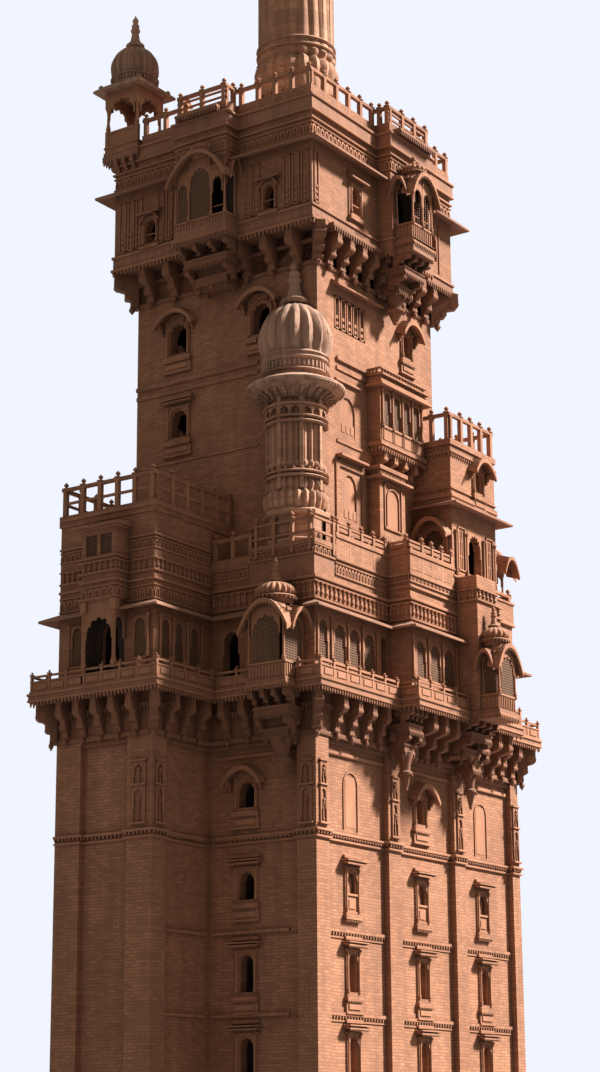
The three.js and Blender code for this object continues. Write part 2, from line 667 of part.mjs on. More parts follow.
// Eaves of the middle storey
function mainChajja() {
  const path = [
    [0, JHAROKHA_W.y0 - 260], [0, 0], [BAY.x0, 0], [BAY.x0, BAY.y0], [BAY.x1 - JOINT, BAY.y0],
  ];
  return eave(path, CHAJJA);
}

function sideChajja() {
  const path = [
    [STEP.x1 + JOINT, BAY.y0], [STEP.right, BAY.y0], [STEP.right, 0], [BODY.x1, 0], [BODY.x1, BODY.y1],
    [0, BODY.y1], [0, WING.y1], [WING.x0, WING.y1], [WING.x0, WING.y0], [0, WING.y0],
    [0, JHAROKHA_W.y1 + 260],
  ];
  return eave(path, CHAJJA);
}

// The terrace over the middle storey
function terraceSlab() {
  const outline = [
    [0, 0], [BAY.x0, 0], [BAY.x0, BAY.y0], [STEP.right, BAY.y0], [STEP.right, 0],
    [BODY.x1, 0], [BODY.x1, BODY.y1], [0, BODY.y1],
  ];
  return plan(outline, TERRACE_SOFFIT, TERRACE);
}

const PANEL_TOP = 24450;
const terraceProfile = [
  [-180, TERRACE + JOINT], [60, TERRACE + JOINT], [60, PANEL_TOP - 120], [110, PANEL_TOP - 80],
  [110, PANEL_TOP], [-180, PANEL_TOP],
];

function terraceParapet() {
  const path = [
    [SHAFT.x0, 0], [BAY.x0, 0], [BAY.x0, BAY.y0], [PAVILION.x0 - JOINT, BAY.y0],
  ];
  return union(run(path, terraceProfile), railing(path, PANEL_TOP - 1, TERRACE_RAIL, 1000, -60));
}

function rearTerraceParapet() {
  const path = [
    [PAVILION.x1 + 200, -JOINT], [BODY.x1, 0], [BODY.x1, BODY.y1], [0, BODY.y1], [0, WING.y1 + JOINT],
  ];
  return union(run(path, terraceProfile), railing(path, PANEL_TOP - 1, TERRACE_RAIL, 1400, -60));
}

// The corner turret, engaged with the shaft's corner
const shaftKeepOut = () => block(SHAFT.x0 - JOINT, 10000, SHAFT.y0 - JOINT, 9000, TERRACE - 500, 36500);
const BLOCK_END = 3000;
const BLOCK_COPING = 24050;

function turretBlock() {
  const body = block(0, SHAFT.x0 - JOINT, 0, BLOCK_END, TERRACE + JOINT, BLOCK_COPING - 160);
  const coping = block(-70, SHAFT.x0 - JOINT, -70, BLOCK_END, BLOCK_COPING - 170, BLOCK_COPING);
  const parapet = block(0, 160, BLOCK_END - 1, WING.y0 - JOINT, TERRACE + JOINT, 23800);
  const rails = railing([[0, WING.y0 - JOINT], [0, BLOCK_END - 200]], 23790, 24650, 900, -80);
  return carve(union(body, coping, parapet, rails), shaftKeepOut());
}

function turretShaft() {
  const drum = [
    [0, BLOCK_COPING + JOINT], [1300, BLOCK_COPING + JOINT], [1300, 24250], [1180, 24330],
    [1180, 25150], [1330, 25250], [1330, 25400], [1180, 25500], [0, 25500],
  ];
  const column = [
    [0, 25490], [1150, 25490], [1240, 25700], [1300, 26000], [1200, 26450], [1210, 26700], [1290, 26800],
    [1290, 27000], [1150, 27100], [1150, 28900], [1250, 28980], [1250, 29200], [1150, 29300], [1150, 29600],
    [1250, 29700], [1250, 29900], [1090, 30000], [0, 30000],
  ];
  const { x, y } = TURRET;
  return carve(union(turned(drum, x, y, 8), turned(column, x, y)), shaftKeepOut());
}

function turretDome() {
  const canopy = [
    [0, 30000 + JOINT], [1090, 30000 + JOINT], [1300, 30250], [1900, 30420], [1920, 30620],
    [1500, 30760], [1250, 30850], [1250, 31000], [1350, 31080], [1350, 31400], [1180, 31500], [1180, 31900],
    [0, 31900],
  ];
  const { x, y } = TURRET;
  const dome = domeProfile(1480, 31890, 34250, 36200);
  return carve(union(turned(canopy, x, y), turned(dome, x, y)), shaftKeepOut());
}

// The west bay's roof with its railing
function westBayRoof() {
  const { x0, y0, y1 } = WING;
  const end = SHAFT.x0 - JOINT;
  const proud = 60;
  const outline = [
    [x0 - proud, y0 - proud], [end, y0 - proud], [end, y1 + proud], [x0 - proud, y1 + proud],
  ];
  const slab = plan(outline, WING_ROOF, WING_ROOF + 450);
  const path = [[end, y1], [x0, y1], [x0, y0], [end, y0]];
  return union(slab, railing(path, WING_ROOF + 440, WING_RAIL, 850, -60));
}

// The east tower: a pavilion storey on the terrace and a block over it, wrapped round the shaft's corner
const eastWrap = [
  [PAVILION.x0, SHAFT.y0 - JOINT], [PAVILION.x0, PAVILION.y0], [PAVILION.x1, PAVILION.y0],
  [PAVILION.x1, PAVILION.y1], [SHAFT.x1 + JOINT, PAVILION.y1],
];

function eastStorey(z0, z1) {
  return run(eastWrap, strip(-PAVILION.wall, 0, z0, z1));
}

function pavilionWalls() {
  const face = front(PAVILION.y0);
  const side = west(PAVILION.x0);
  const walls = eastStorey(TERRACE + JOINT, PAVILION_TOP - JOINT);
  const chajja = eave(eastWrap, { attach: 27350, edge: 27060, reach: 560, thick: 80 });
  const lintel = run(eastWrap, strip(-1, 60, 27150, PAVILION_TOP - JOINT));
  const openings = [
    face.slab(arch(9750, 10850, 24500, 26300), [], -PAVILION.wall - 1, 1),
    face.slab(rect(9000, 9450, 24600, 26200), [], -140, 1),
    face.slab(rect(11300, 11750, 24600, 26200), [], -140, 1),
    side.slab(arch(-700, 350, 24300, 26300), [], -PAVILION.wall - 1, 1),
  ];
  const bow = hood(side, -175, 850, 25900, 800, 420);
  return carve(union(walls, chajja, lintel, bow), openings, shaftKeepOut());
}

function eastBlockWalls() {
  const face = front(PAVILION.y0);
  const walls = eastStorey(PAVILION_TOP, BLOCK_TOP - JOINT);
  const string = run(eastWrap, strip(-1, 80, PAVILION_TOP, PAVILION_TOP + 150));
  const window = windowAt(face, 10700, 640, 28150, 29100, { head: "hood", depth: 600 });
  return withWindows(union(walls, string), [window]);
}

function eastBlockRoof() {
  const proud = 70;
  const outline = [
    [PAVILION.x0 - proud, SHAFT.y0 - JOINT], [PAVILION.x0 - proud, PAVILION.y0 - proud],
    [PAVILION.x1 + proud, PAVILION.y0 - proud], [PAVILION.x1 + proud, PAVILION.y1 + proud],
    [SHAFT.x1 + JOINT, PAVILION.y1 + proud], [SHAFT.x1 + JOINT, SHAFT.y0 - JOINT],
  ];
  return union(plan(outline, BLOCK_TOP, BLOCK_TOP + 250), railing(eastWrap, BLOCK_TOP + 240, 31150, 850, -60));
}

// A small hooded kiosk on the terrace's south-east corner
function cornerKiosk() {
  const [x0, x1, y0, y1] = [14300, 15000, 200, 900];
  const [z0, z1] = [TERRACE + JOINT, 25600];
  const shell = block(x0, x1, y0, y1, z0, z1);
  const ways = [
    front(y0).slab(arch(x0 + 110, x1 - 110, z0 - 1, 25300), [], -800, 1),
    west(x0).slab(arch(y0 + 110, y1 - 110, z0 - 1, 25300), [], -800, 1),
  ];
  const roof = [
    [0, z1 - 1], [640, z1 - 120], [640, z1 - 40], [430, z1 + 200], [330, 26100], [60, 26450], [0, 26700],
  ];
  return union(carve(shell, ways), turned(roof, (x0 + x1) / 2, (y0 + y1) / 2, 8));
}

// The shaft
const shaftFoot = TERRACE + JOINT;
const shaftHead = TOP_SOFFIT - JOINT;

function shaftBands(face, u0, u1) {
  return [
    face.box(u0, u1, -1, 50, SHAFT_LINE - 120, SHAFT_LINE),
    face.box(u0, u1, -1, 60, SHAFT_STRING, SHAFT_STRING + 160),
    face.box(u0, u1, -1, 100, SHAFT_STRING + 390, SHAFT_STRING + 550),
  ];
}

function shaftFrontWall() {
  const face = front(SHAFT.y0);
  const wall = face.slab(rect(SHAFT.x0, SHAFT.x1, shaftFoot, shaftHead), [], -SHAFT.wall, 0);
  const solids = [
    wall,
    shaftBands(face, 2700, 4800),
    face.box(4900, 6800, -1, 580, 25100, 28150),
    face.box(4800, 6900, -1, 680, 28000, 28160),
    face.rib([[-1, 35450], [-1, 35250], [380, 35130], [380, 35200]], 2400, 5800),
    face.slab(rect(2560, 4670, 25300, 27900), [rect(2800, 4430, 25500, 27700)], -1, 70),
  ];
  const screen = windowAt(face, 8050, 620, 33700, 34750, { head: "hood", depth: 700 });
  const cutters = [
    face.slab(rect(2600, 4900, 33400, 34850), [], -100, 1),
    face.slab(arch(2970, 4030, 29100, 30700), [], -120, 1),
    face.slab(arch(3150, 4080, 25600, 27500), [], -120, 1),
    face.box(ORIEL.u0 + 150, ORIEL.u1 - 150, -700, 1, ORIEL.z0 + 300, ORIEL.z1 - 400),
    face.box(5150, 6550, 480, 600, 25500, 27700),
  ];
  return carve(withWindows(union(solids), [screen]), cutters);
}

function shaftWestWall() {
  const face = west(SHAFT.x0);
  const [u0, u1] = [SHAFT.y0 + SHAFT.wall + JOINT, SHAFT.y1];
  const wall = face.slab(rect(u0, u1, shaftFoot, shaftHead), [], -SHAFT.wall, 0);
  const windows = [
    windowAt(face, 7580, 940, 33350, 34750, { head: "hood", depth: 700 }),
    windowAt(face, 7520, 900, 29750, 31000, { depth: 700 }),
    windowAt(face, 3400, 940, 33350, 34750, { head: "hood", depth: 700 }),
  ];
  const dressed = withWindows(union(wall, shaftBands(face, 3000, u1)), windows);
  return carve(dressed, turretEnvelope());
}

// What the turret, with its joint, takes out of the shaft's trim.
const turretEnvelope = () => carve(
  turned([[0, 24000], [1960, 24000], [1960, 36300], [0, 36300]], TURRET.x, TURRET.y),
  block(SHAFT.x0 - 0.1, 6000, -2000, 6000, 23000, 37000),
);

function shaftRearWalls() {
  const eastFace = east(SHAFT.x1);
  const backFace = back(SHAFT.y1);
  const inner = { x: SHAFT.x0 + SHAFT.wall + JOINT, y: SHAFT.y0 + SHAFT.wall + JOINT };
  const walls = [
    eastFace.slab(rect(inner.y, SHAFT.y1, shaftFoot, shaftHead), [], -SHAFT.wall, 0),
    backFace.slab(rect(inner.x, SHAFT.x1, shaftFoot, shaftHead), [], -SHAFT.wall, 0),
    shaftBands(eastFace, PAVILION.y1 + 700, SHAFT.y1),
    shaftBands(backFace, inner.x, SHAFT.x1),
  ];
  const windows = [
    windowAt(eastFace, 7000, 900, 33350, 34750, { head: "hood", depth: 700 }),
    windowAt(eastFace, 7000, 900, 29750, 31000, { depth: 700, framed: false }),
    ...[3600, 7900].flatMap((u) => [
      windowAt(backFace, u, 900, 33350, 34750, { head: "hood", depth: 700 }),
      windowAt(backFace, u, 900, 29750, 31000, { depth: 700, framed: false }),
    ]),
  ];
  return withWindows(union(walls), windows);
}

function shaftFloor(top) {
  const inset = SHAFT.wall + JOINT;
  return block(SHAFT.x0 + inset, SHAFT.x1 - inset, SHAFT.y0 + inset, SHAFT.y1 - inset, top - 300, top);
}

// The box window on the shaft's front, with four arched lights
const ORIEL = { u0: 5000, u1: 8300, reach: 600, z0: 28900, z1: 32200 };

function frontOriel() {
  const face = front(SHAFT.y0 - JOINT);
  const { u0, u1, reach, z0, z1 } = ORIEL;
  const shell = face.box(u0, u1, 0, reach, z0 + 200, z1 - 200);
  const inside = face.box(u0 + 130, u1 - 130, -1, reach - 130, z0 + 400, z1 - 400);
  const pitch = (u1 - u0 - 300) / 4;
  const lights = [0, 1, 2, 3].map((i) => {
    const a = u0 + 150 + pitch * i + 90;
    return face.slab(arch(a, a + pitch - 180, 29900, 31400), [], 0, reach + 1);
  });
  const trim = [
    face.box(u0 - 100, u1 + 100, 0, reach + 100, z0 + 150, z0 + 320),
    face.box(u0 + 200, u1 - 200, 0, reach - 150, z0 - 150, z0 + 160),
    face.box(u0 - 90, u1 + 90, 0, reach + 90, z1 - 420, z1 - 200),
    face.rib([[0, z1], [0, z1 - 210], [reach + 260, z1 - 260], [reach + 260, z1 - 190]], u0 - 160, u1 + 160),
  ];
  return union(carve(shell, inside, lights), trim);
}

// The overhanging top storey
const topWallPath = [
  [TOP.x0, TOP.y0], [TOP_SOUTH_BAY.x0, TOP.y0], [TOP_SOUTH_BAY.x0, TOP_SOUTH_BAY.y0],
  [TOP_SOUTH_BAY.x1, TOP_SOUTH_BAY.y0], [TOP_SOUTH_BAY.x1, TOP.y0], [TOP.x1, TOP.y0],
  [TOP.x1, TOP.y1], [TOP.x0, TOP.y1], [TOP.x0, TOP_WEST_BAY.y1], [TOP_WEST_BAY.x0, TOP_WEST_BAY.y1],
  [TOP_WEST_BAY.x0, TOP_WEST_BAY.y0], [TOP.x0, TOP_WEST_BAY.y0],
];

const HEAD_PROUD = 300;

function upperBrackets() {
  const ring = [
    [SHAFT.x0, SHAFT.y0], [SHAFT.x1, SHAFT.y0], [SHAFT.x1, SHAFT.y1], [SHAFT.x0, SHAFT.y1],
  ];
  const course = [
    [JOINT, CORBEL + 700], [90, CORBEL + 740], [90, CORBEL + 900], [60, CORBEL + 960],
    [60, shaftHead], [JOINT, shaftHead],
  ];
  const sides = [
    { face: front(SHAFT.y0), reach: SHAFT.y0 - TOP.y0 + HEAD_PROUD, from: 1650, to: 9850 },
    { face: west(SHAFT.x0), reach: SHAFT.x0 - TOP.x0 + HEAD_PROUD, from: 950, to: 9450 },
    { face: back(SHAFT.y1), reach: TOP.y1 - SHAFT.y1 + HEAD_PROUD, from: 1650, to: 9850 },
    { face: east(SHAFT.x1), reach: TOP.x1 - SHAFT.x1 + HEAD_PROUD, from: 950, to: 9450 },
  ];
  const brackets = sides.flatMap(({ face, reach, from, to }) => {
    const steps = Math.round((to - from) / 900);
    return Array.from({ length: steps + 1 }, (_, i) => {
      return bracket(face, from + ((to - from) * i) / steps, reach, CORBEL + 500, shaftHead, 220);
    });
  });
  const tiers = [
    pendant(front(SHAFT.y0), 6350, 850, 1900, shaftHead, 5, 480),
    pendant(west(SHAFT.x0), 5230, 1300, 1650, shaftHead, 5, 520),
  ];
  return carve(union(run(ring, course, true), brackets, tiers), innerShaft());
}

const innerShaft = () => block(
  SHAFT.x0 - JOINT, SHAFT.x1 + JOINT, SHAFT.y0 - JOINT, SHAFT.y1 + JOINT, CORBEL - 3000, TOP_SOFFIT,
);

function upperFloor() {
  const proud = 40;
  const [w, s] = [TOP_WEST_BAY, TOP_SOUTH_BAY];
  const outline = [
    [TOP.x0 - proud, TOP.y0 - proud], [s.x0 - proud, TOP.y0 - proud], [s.x0 - proud, s.y0 - proud],
    [5500, s.y0 - proud], [5500, -1320], [7150, -1320], [7150, s.y0 - proud],
    [s.x1 + proud, s.y0 - proud], [s.x1 + proud, TOP.y0 - proud], [TOP.x1 + proud, TOP.y0 - proud],
    [TOP.x1 + proud, TOP.y1 + proud], [TOP.x0 - proud, TOP.y1 + proud], [TOP.x0 - proud, w.y1 + proud],
    [w.x0 - proud, w.y1 + proud], [w.x0 - proud, w.y0 - proud], [TOP.x0 - proud, w.y0 - proud],
  ];
  return plan(outline, TOP_SOFFIT, TOP_FLOOR);
}

const topFoot = TOP_FLOOR + JOINT;
const topHead = ROOF_SOFFIT - JOINT;

function upperFrontWall() {
  const s = TOP_SOUTH_BAY;
  const wall = TOP.wall;
  const walls = [
    block(TOP.x0, s.x0 + wall, TOP.y0, TOP.y0 + wall, topFoot, topHead),
    block(s.x0, s.x0 + wall, s.y0, TOP.y0 + wall, topFoot, topHead),
    block(s.x0, s.x1, s.y0, s.y0 + wall, topFoot, topHead),
    block(s.x1 - wall, s.x1, s.y0, TOP.y0 + wall, topFoot, topHead),
    block(s.x1 - wall, TOP.x1, TOP.y0, TOP.y0 + wall, topFoot, topHead),
  ];
  const window = windowAt(front(TOP.y0), 3645, 630, 38500, 39740, { depth: 600 });
  const light = front(TOP.y0).slab(arch(9400, 10100, 38600, 39900), [], -600, 1);
  const doorway = front(s.y0).slab(arch(5750, 6900, topFoot + 100, 40600), [], -600, 1);
  return carve(withWindows(union(walls), [window]), light, doorway);
}

function upperWestWall() {
  const w = TOP_WEST_BAY;
  const wall = TOP.wall;
  const u0 = TOP.y0 + wall + JOINT;
  const u1 = TOP.y1 - wall - JOINT;
  const face = west(TOP.x0);
  const doorway = arch(4700, 5800, topFoot + 100, 40300);
  const plain = face.slab(rect(u0, u1, topFoot, topHead), [doorway], -wall, 0);
  const attic = block(w.x0, TOP.x0 + 10, w.y0, w.y1, 40700, topHead);
  const windows = [
    windowAt(face, 2350, 500, 38150, 39250, { depth: 600, rim: 110, sill: 140 }),
    windowAt(face, 8380, 560, 38150, 39250, { depth: 600, rim: 110, sill: 140 }),
  ];
  return withWindows(union(plain, attic), windows);
}

function upperRearWalls() {
  const wall = TOP.wall;
  const eastFace = east(TOP.x1);
  const backFace = back(TOP.y1);
  const walls = [
    eastFace.slab(rect(TOP.y0 + wall + JOINT, TOP.y1, topFoot, topHead), [], -wall, 0),
    backFace.slab(rect(TOP.x0, TOP.x1, topFoot, topHead), [], -wall, 0),
  ];
  const windows = [
    ...[3000, 7600].map((u) => windowAt(eastFace, u, 560, 38300, 39500, { depth: 600, framed: false })),
    ...[2600, 5900, 9200].map((u) => windowAt(backFace, u, 560, 38300, 39500, { depth: 600, framed: false })),
  ];
  return withWindows(union(walls), windows);
}

function upperChajja() {
  const path = [
    [TOP.x0, TOP_WEST_BAY.y0 - 60 - JOINT], [TOP.x0, TOP.y0], [TOP_SOUTH_BAY.x0 - JOINT, TOP.y0],
  ];
  return eave(path, TOP_CHAJJA);
}

function rearUpperChajja() {
  const path = [
    [TOP_SOUTH_BAY.x1 + JOINT, TOP.y0], [TOP.x1, TOP.y0], [TOP.x1, TOP.y1], [TOP.x0, TOP.y1],
    [TOP.x0, TOP_WEST_BAY.y1 + 60 + JOINT],
  ];
  return eave(path, TOP_CHAJJA);
}

function upperWestJharokha() {
  const face = west(TOP.x0);
  const w = TOP_WEST_BAY;
  const { centre, shell } = jharokha(face, {
    u0: w.y0, u1: w.y1, reach: TOP.x0 - w.x0, floor: topFoot, sill: 38550, arches: 40350, top: 40578,
    front: [[w.y0 + 160, w.y0 + 640], [w.y0 + 780, w.y1 - 780], [w.y1 - 640, w.y1 - 160]],
  });
  const bow = hood(west(w.x0), centre, 1480, 39800, 1300, 420);
  const behindHood = west(w.x0).box(w.y0 - 400, w.y1 + 400, -900, JOINT, 40699, 41700);
  return carve(union(shell, bow), behindHood);
}

function upperSouthJharokha() {
  const face = front(TOP_SOUTH_BAY.y0);
  const [u0, u1, reach] = [5550, 7100, 850];
  const { centre, shell } = jharokha(face, {
    u0, u1, reach, floor: topFoot, sill: 38800, arches: 40550, top: 40750,
    front: [[u0 + 150, u0 + 700], [u1 - 700, u1 - 150]],
  });
  const bow = hood(face, centre, 1080, 40100, 1150, reach + 260);
  const dome = face.turned(domeProfile(520, 41250, 41850, 42400), centre, 420, 16);
  const drum = face.box(centre - 450, centre + 450, 0, 800, 40860, 41300);
  return trimmed(face, union(shell, bow, dome, drum), centre, TOP_FLOOR);
}

// The roof with its parapet, the bays' small balconies and the railing
function roofSlab() {
  const proud = 110;
  const [w, s] = [TOP_WEST_BAY, TOP_SOUTH_BAY];
  const outline = [
    [TOP.x0 - proud, TOP.y0 - proud], [s.x0 - proud, TOP.y0 - proud], [s.x0 - proud, s.y0 - proud],
    [s.x1 + proud, s.y0 - proud], [s.x1 + proud, TOP.y0 - proud], [TOP.x1 + proud, TOP.y0 - proud],
    [TOP.x1 + proud, TOP.y1 + proud], [TOP.x0 - proud, TOP.y1 + proud], [TOP.x0 - proud, w.y1 + proud],
    [w.x0 - proud, w.y1 + proud], [w.x0 - proud, w.y0 - proud], [TOP.x0 - proud, w.y0 - proud],
  ];
  return plan(outline, ROOF_SOFFIT, ROOF);
}

function roofRailing() {
  const chhatriSide = { x: CHHATRI.x + CHHATRI.half + 100, y: CHHATRI.y - CHHATRI.half - 100 };
  const path = [
    [TOP.x0, chhatriSide.y], [TOP.x0, TOP_WEST_BAY.y1], [TOP_WEST_BAY.x0, TOP_WEST_BAY.y1],
    [TOP_WEST_BAY.x0, TOP_WEST_BAY.y0], [TOP.x0, TOP_WEST_BAY.y0], [TOP.x0, TOP.y0],
    [TOP_SOUTH_BAY.x0, TOP.y0], [TOP_SOUTH_BAY.x0, TOP_SOUTH_BAY.y0],
    [TOP_SOUTH_BAY.x1, TOP_SOUTH_BAY.y0], [TOP_SOUTH_BAY.x1, TOP.y0], [TOP.x1, TOP.y0],
    [TOP.x1, TOP.y1], [chhatriSide.x, TOP.y1],
  ];
  const panel = run(path, strip(-180, -10, ROOF + JOINT, ROOF_PANEL));
  return union(panel, railing(path, ROOF_PANEL - 1, ROOF_RAIL, 900, -90));
}

// The corner kiosk on the roof: a base, four arches on posts, and a ribbed dome with an eave
function chhatriArches() {
  const { x, y, half } = CHHATRI;
  const [z0, z1] = [ROOF + JOINT, 45500];
  const base = block(x - CHHATRI.base, x + CHHATRI.base, y - CHHATRI.base, y + CHHATRI.base, z0, 43000);
  const shell = block(x - half, x + half, y - half, y + half, 42990, z1);
  const post = 190;
  const ways = [
    front(y - half).slab(arch(x - half + post, x + half - post, 43001, 45200), [], -3000, 1),
    west(x - half).slab(arch(y - half + post, y + half - post, 43001, 45200), [], -3000, 1),
  ];
  return union(base, carve(shell, ways));
}

function chhatriDome() {
  const { x, y, half, eave: reach } = CHHATRI;
  const z0 = 45500 + JOINT;
  const lid = block(x - half - 30, x + half + 30, y - half - 30, y + half + 30, z0, z0 + 250);
  const square = [[x - half, y - half], [x + half, y - half], [x + half, y + half], [x - half, y + half]];
  const slope = [[-10, z0 + 60], [reach, z0 - 40], [reach, z0 + 40], [-10, z0 + 330]];
  const profile = [
    [0, z0 + 200], [960, z0 + 200], [960, z0 + 520], [1060, z0 + 560], [1060, 46300], [0, 46300],
  ];
  const dome = domeProfile(1110, 46290, 47850, 49300);
  return union(lid, run(square, slope, true), turned(profile, x, y), turned(dome, x, y));
}

// The minaret
function minaretShaft() {
  const { x, y, radius: r } = MINARET;
  const profile = [
    [0, ROOF + JOINT], [r + 420, ROOF + JOINT], [r + 420, 43300], [r + 300, 43450], [r + 330, 44100],
    [r + 120, 44500], [r + 160, 45300], [r, 45450], [r, 47700], [r + 130, 47850], [r + 130, 48050],
    [r + 40, 48150], [r + 130, 48300], [r + 130, 48500], [r, 48650], [r, 52000], [0, 52000],
  ];
  return turned(profile, x, y);
}

function minaretDome() {
  const { x, y, radius: r } = MINARET;
  const z0 = 52000 + JOINT;
  const canopy = [
    [0, z0], [r - 60, z0], [r + 250, z0 + 350], [r + 900, z0 + 600], [r + 930, z0 + 850], [r + 400, z0 + 1050],
    [r + 60, z0 + 1200], [r + 60, z0 + 1400], [r + 160, z0 + 1500], [r + 160, z0 + 1800],
    [r - 60, 54100], [0, 54100],
  ];
  const dome = domeProfile(r + 150, 54090, 57000, 59100);
  return union(turned(canopy, x, y), turned(dome, x, y));
}

// The group: every piece as a named mesh in the stone's own colours
const STONE = new THREE.Color(0xb0694a);
const DARK_STONE = new THREE.Color(0x94543b);

function mesh(name, body, color = STONE) {
  const { numProp, numVert, vertProperties, triVerts } = body.getMesh();
  const positions = new Float32Array(numVert * 3);
  for (let i = 0; i < numVert; i++) {
    positions.set(vertProperties.subarray(i * numProp, i * numProp + 3), 3 * i);
  }
  const geometry = new THREE.BufferGeometry();
  geometry.setAttribute("position", new THREE.BufferAttribute(positions, 3));
  geometry.setIndex(new THREE.BufferAttribute(triVerts, 1));
  geometry.computeVertexNormals();
  const stone = new THREE.MeshStandardMaterial({ color, roughness: 0.9, metalness: 0 });
  const made = new THREE.Mesh(geometry, stone);
  made.name = name;
  return made;
}

const building = new THREE.Group();
building.position.set(-(BODY.x0 + BODY.x1) / 2, -(BODY.y0 + BODY.y1) / 2, 0);
building.add(
  mesh("plinth", plinth(), DARK_STONE),
  mesh("lower_front_wall", lowerFrontWall()),
  mesh("lower_west_wall", lowerWestWall()),
  mesh("lower_rear_walls", lowerRearWalls()),
  mesh("west_bay_lower_walls", westBayLowerWalls()),
  mesh("lower_floor_1", lowerFloor(STRINGS[1]), DARK_STONE),
  mesh("lower_floor_2", lowerFloor(STRINGS[2]), DARK_STONE),
  mesh("lower_floor_3", lowerFloor(STRINGS[3]), DARK_STONE),
  mesh("balcony_brackets", balconyBrackets(), DARK_STONE),
  mesh("balcony_slab", balconySlab(), DARK_STONE),
  mesh("balcony_parapet", balconyParapet()),
  mesh("rear_balcony_parapet", rearParapet()),
  mesh("mid_front_wall", midFrontWall()),
  mesh("mid_front_wall_right", midFrontWallRight()),
  mesh("mid_west_wall", midWestWall()),
  mesh("mid_rear_walls", midRearWalls()),
  mesh("front_bay", frontBay()),
  mesh("side_bay", sideBay()),
  mesh("west_bay_walls", westBayWalls()),
  mesh("west_bay_oriel", westBayOriel()),
  mesh("west_jharokha", westJharokha()),
  mesh("front_jharokha", frontJharokha()),
  mesh("main_chajja", mainChajja(), DARK_STONE),
  mesh("side_chajja", sideChajja(), DARK_STONE),
  mesh("terrace_slab", terraceSlab(), DARK_STONE),
  mesh("terrace_parapet", terraceParapet()),
  mesh("rear_terrace_parapet", rearTerraceParapet()),
  mesh("turret_block", turretBlock()),
  mesh("turret_shaft", turretShaft()),
  mesh("turret_dome", turretDome(), DARK_STONE),
  mesh("west_bay_roof", westBayRoof()),
  mesh("pavilion_walls", pavilionWalls()),
  mesh("east_block_walls", eastBlockWalls()),
  mesh("east_block_roof", eastBlockRoof()),
  mesh("corner_kiosk", cornerKiosk()),
  mesh("shaft_front_wall", shaftFrontWall()),
  mesh("shaft_west_wall", shaftWestWall()),
  mesh("shaft_rear_walls", shaftRearWalls()),
  mesh("shaft_floor_1", shaftFloor(SHAFT_LINE), DARK_STONE),
  mesh("shaft_floor_2", shaftFloor(SHAFT_STRING + 550), DARK_STONE),
  mesh("front_oriel", frontOriel()),
  mesh("upper_brackets", upperBrackets(), DARK_STONE),
  mesh("upper_floor", upperFloor(), DARK_STONE),
  mesh("upper_front_wall", upperFrontWall()),
  mesh("upper_west_wall", upperWestWall()),
  mesh("upper_rear_walls", upperRearWalls()),
  mesh("upper_chajja", upperChajja(), DARK_STONE),
  mesh("rear_upper_chajja", rearUpperChajja(), DARK_STONE),
  mesh("upper_west_jharokha", upperWestJharokha()),
  mesh("upper_south_jharokha", upperSouthJharokha()),
  mesh("roof_slab", roofSlab(), DARK_STONE),
  mesh("roof_railing", roofRailing()),
  mesh("chhatri_arches", chhatriArches()),
  mesh("chhatri_dome", chhatriDome(), DARK_STONE),
  mesh("minaret_shaft", minaretShaft()),
  mesh("minaret_dome", minaretDome(), DARK_STONE),
);

const tower = new THREE.Group();
tower.scale.setScalar(MODEL_SCALE);
tower.add(building);

export default tower;
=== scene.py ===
import math

import bmesh
import bpy
from mathutils import Matrix, Vector


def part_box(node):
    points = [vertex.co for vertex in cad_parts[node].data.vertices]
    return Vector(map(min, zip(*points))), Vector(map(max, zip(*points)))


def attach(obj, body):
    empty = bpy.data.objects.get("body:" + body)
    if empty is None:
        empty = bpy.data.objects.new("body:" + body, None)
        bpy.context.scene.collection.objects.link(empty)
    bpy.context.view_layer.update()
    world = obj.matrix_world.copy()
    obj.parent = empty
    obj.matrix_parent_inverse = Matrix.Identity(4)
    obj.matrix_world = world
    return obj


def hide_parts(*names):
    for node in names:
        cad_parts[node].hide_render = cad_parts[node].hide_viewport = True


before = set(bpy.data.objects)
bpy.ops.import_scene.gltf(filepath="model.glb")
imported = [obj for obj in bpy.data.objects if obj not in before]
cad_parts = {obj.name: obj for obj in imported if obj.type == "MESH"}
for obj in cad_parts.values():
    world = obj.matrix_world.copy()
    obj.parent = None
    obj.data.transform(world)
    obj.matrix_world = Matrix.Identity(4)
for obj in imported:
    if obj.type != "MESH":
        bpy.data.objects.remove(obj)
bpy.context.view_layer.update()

# Places and sizes are the real building's, in metres. The model is half of that, round its middle.
MODEL_SCALE = 0.5
PLAN_CENTRE = (7.6, 5.2)
TO_MODEL = Matrix.Scale(MODEL_SCALE, 4) @ Matrix.Translation((-PLAN_CENTRE[0], -PLAN_CENTRE[1], 0))


def real_box(node):
    """A node's lowest and highest corners, in real metres."""
    back = TO_MODEL.inverted()
    return [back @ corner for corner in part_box(node)]


# The plan
BODY = {"x0": 0.0, "x1": 15.2, "y0": 0.0, "y1": 10.4, "recess": 0.25}
WING = {"x0": -3.56, "y0": 4.82, "y1": 9.4}
BAY = {"x0": 5.15, "x1": 8.65, "y": -1.05}
STEP = {"x0": 8.65, "x1": 10.2, "y": -2.05, "right": 12.3}
SHAFT = {"x0": 1.4, "x1": 10.1, "y0": 0.7, "y1": 9.7}
EAST = {"x0": 8.5, "x1": 12.1, "y0": -1.05, "y1": 3.2}
TOP = {"x0": 0.5, "x1": 11.3, "y0": 0.3, "y1": 10.3}
TOP_WEST = {"x": -0.28, "y0": 3.96, "y1": 6.5}
TOP_SOUTH = {"y": -0.4, "x0": 5.3, "x1": 8.45}
TURRET = (1.2, 1.62)
CHHATRI = (1.18, 9.9)
MINARET = (6.35, 5.0)

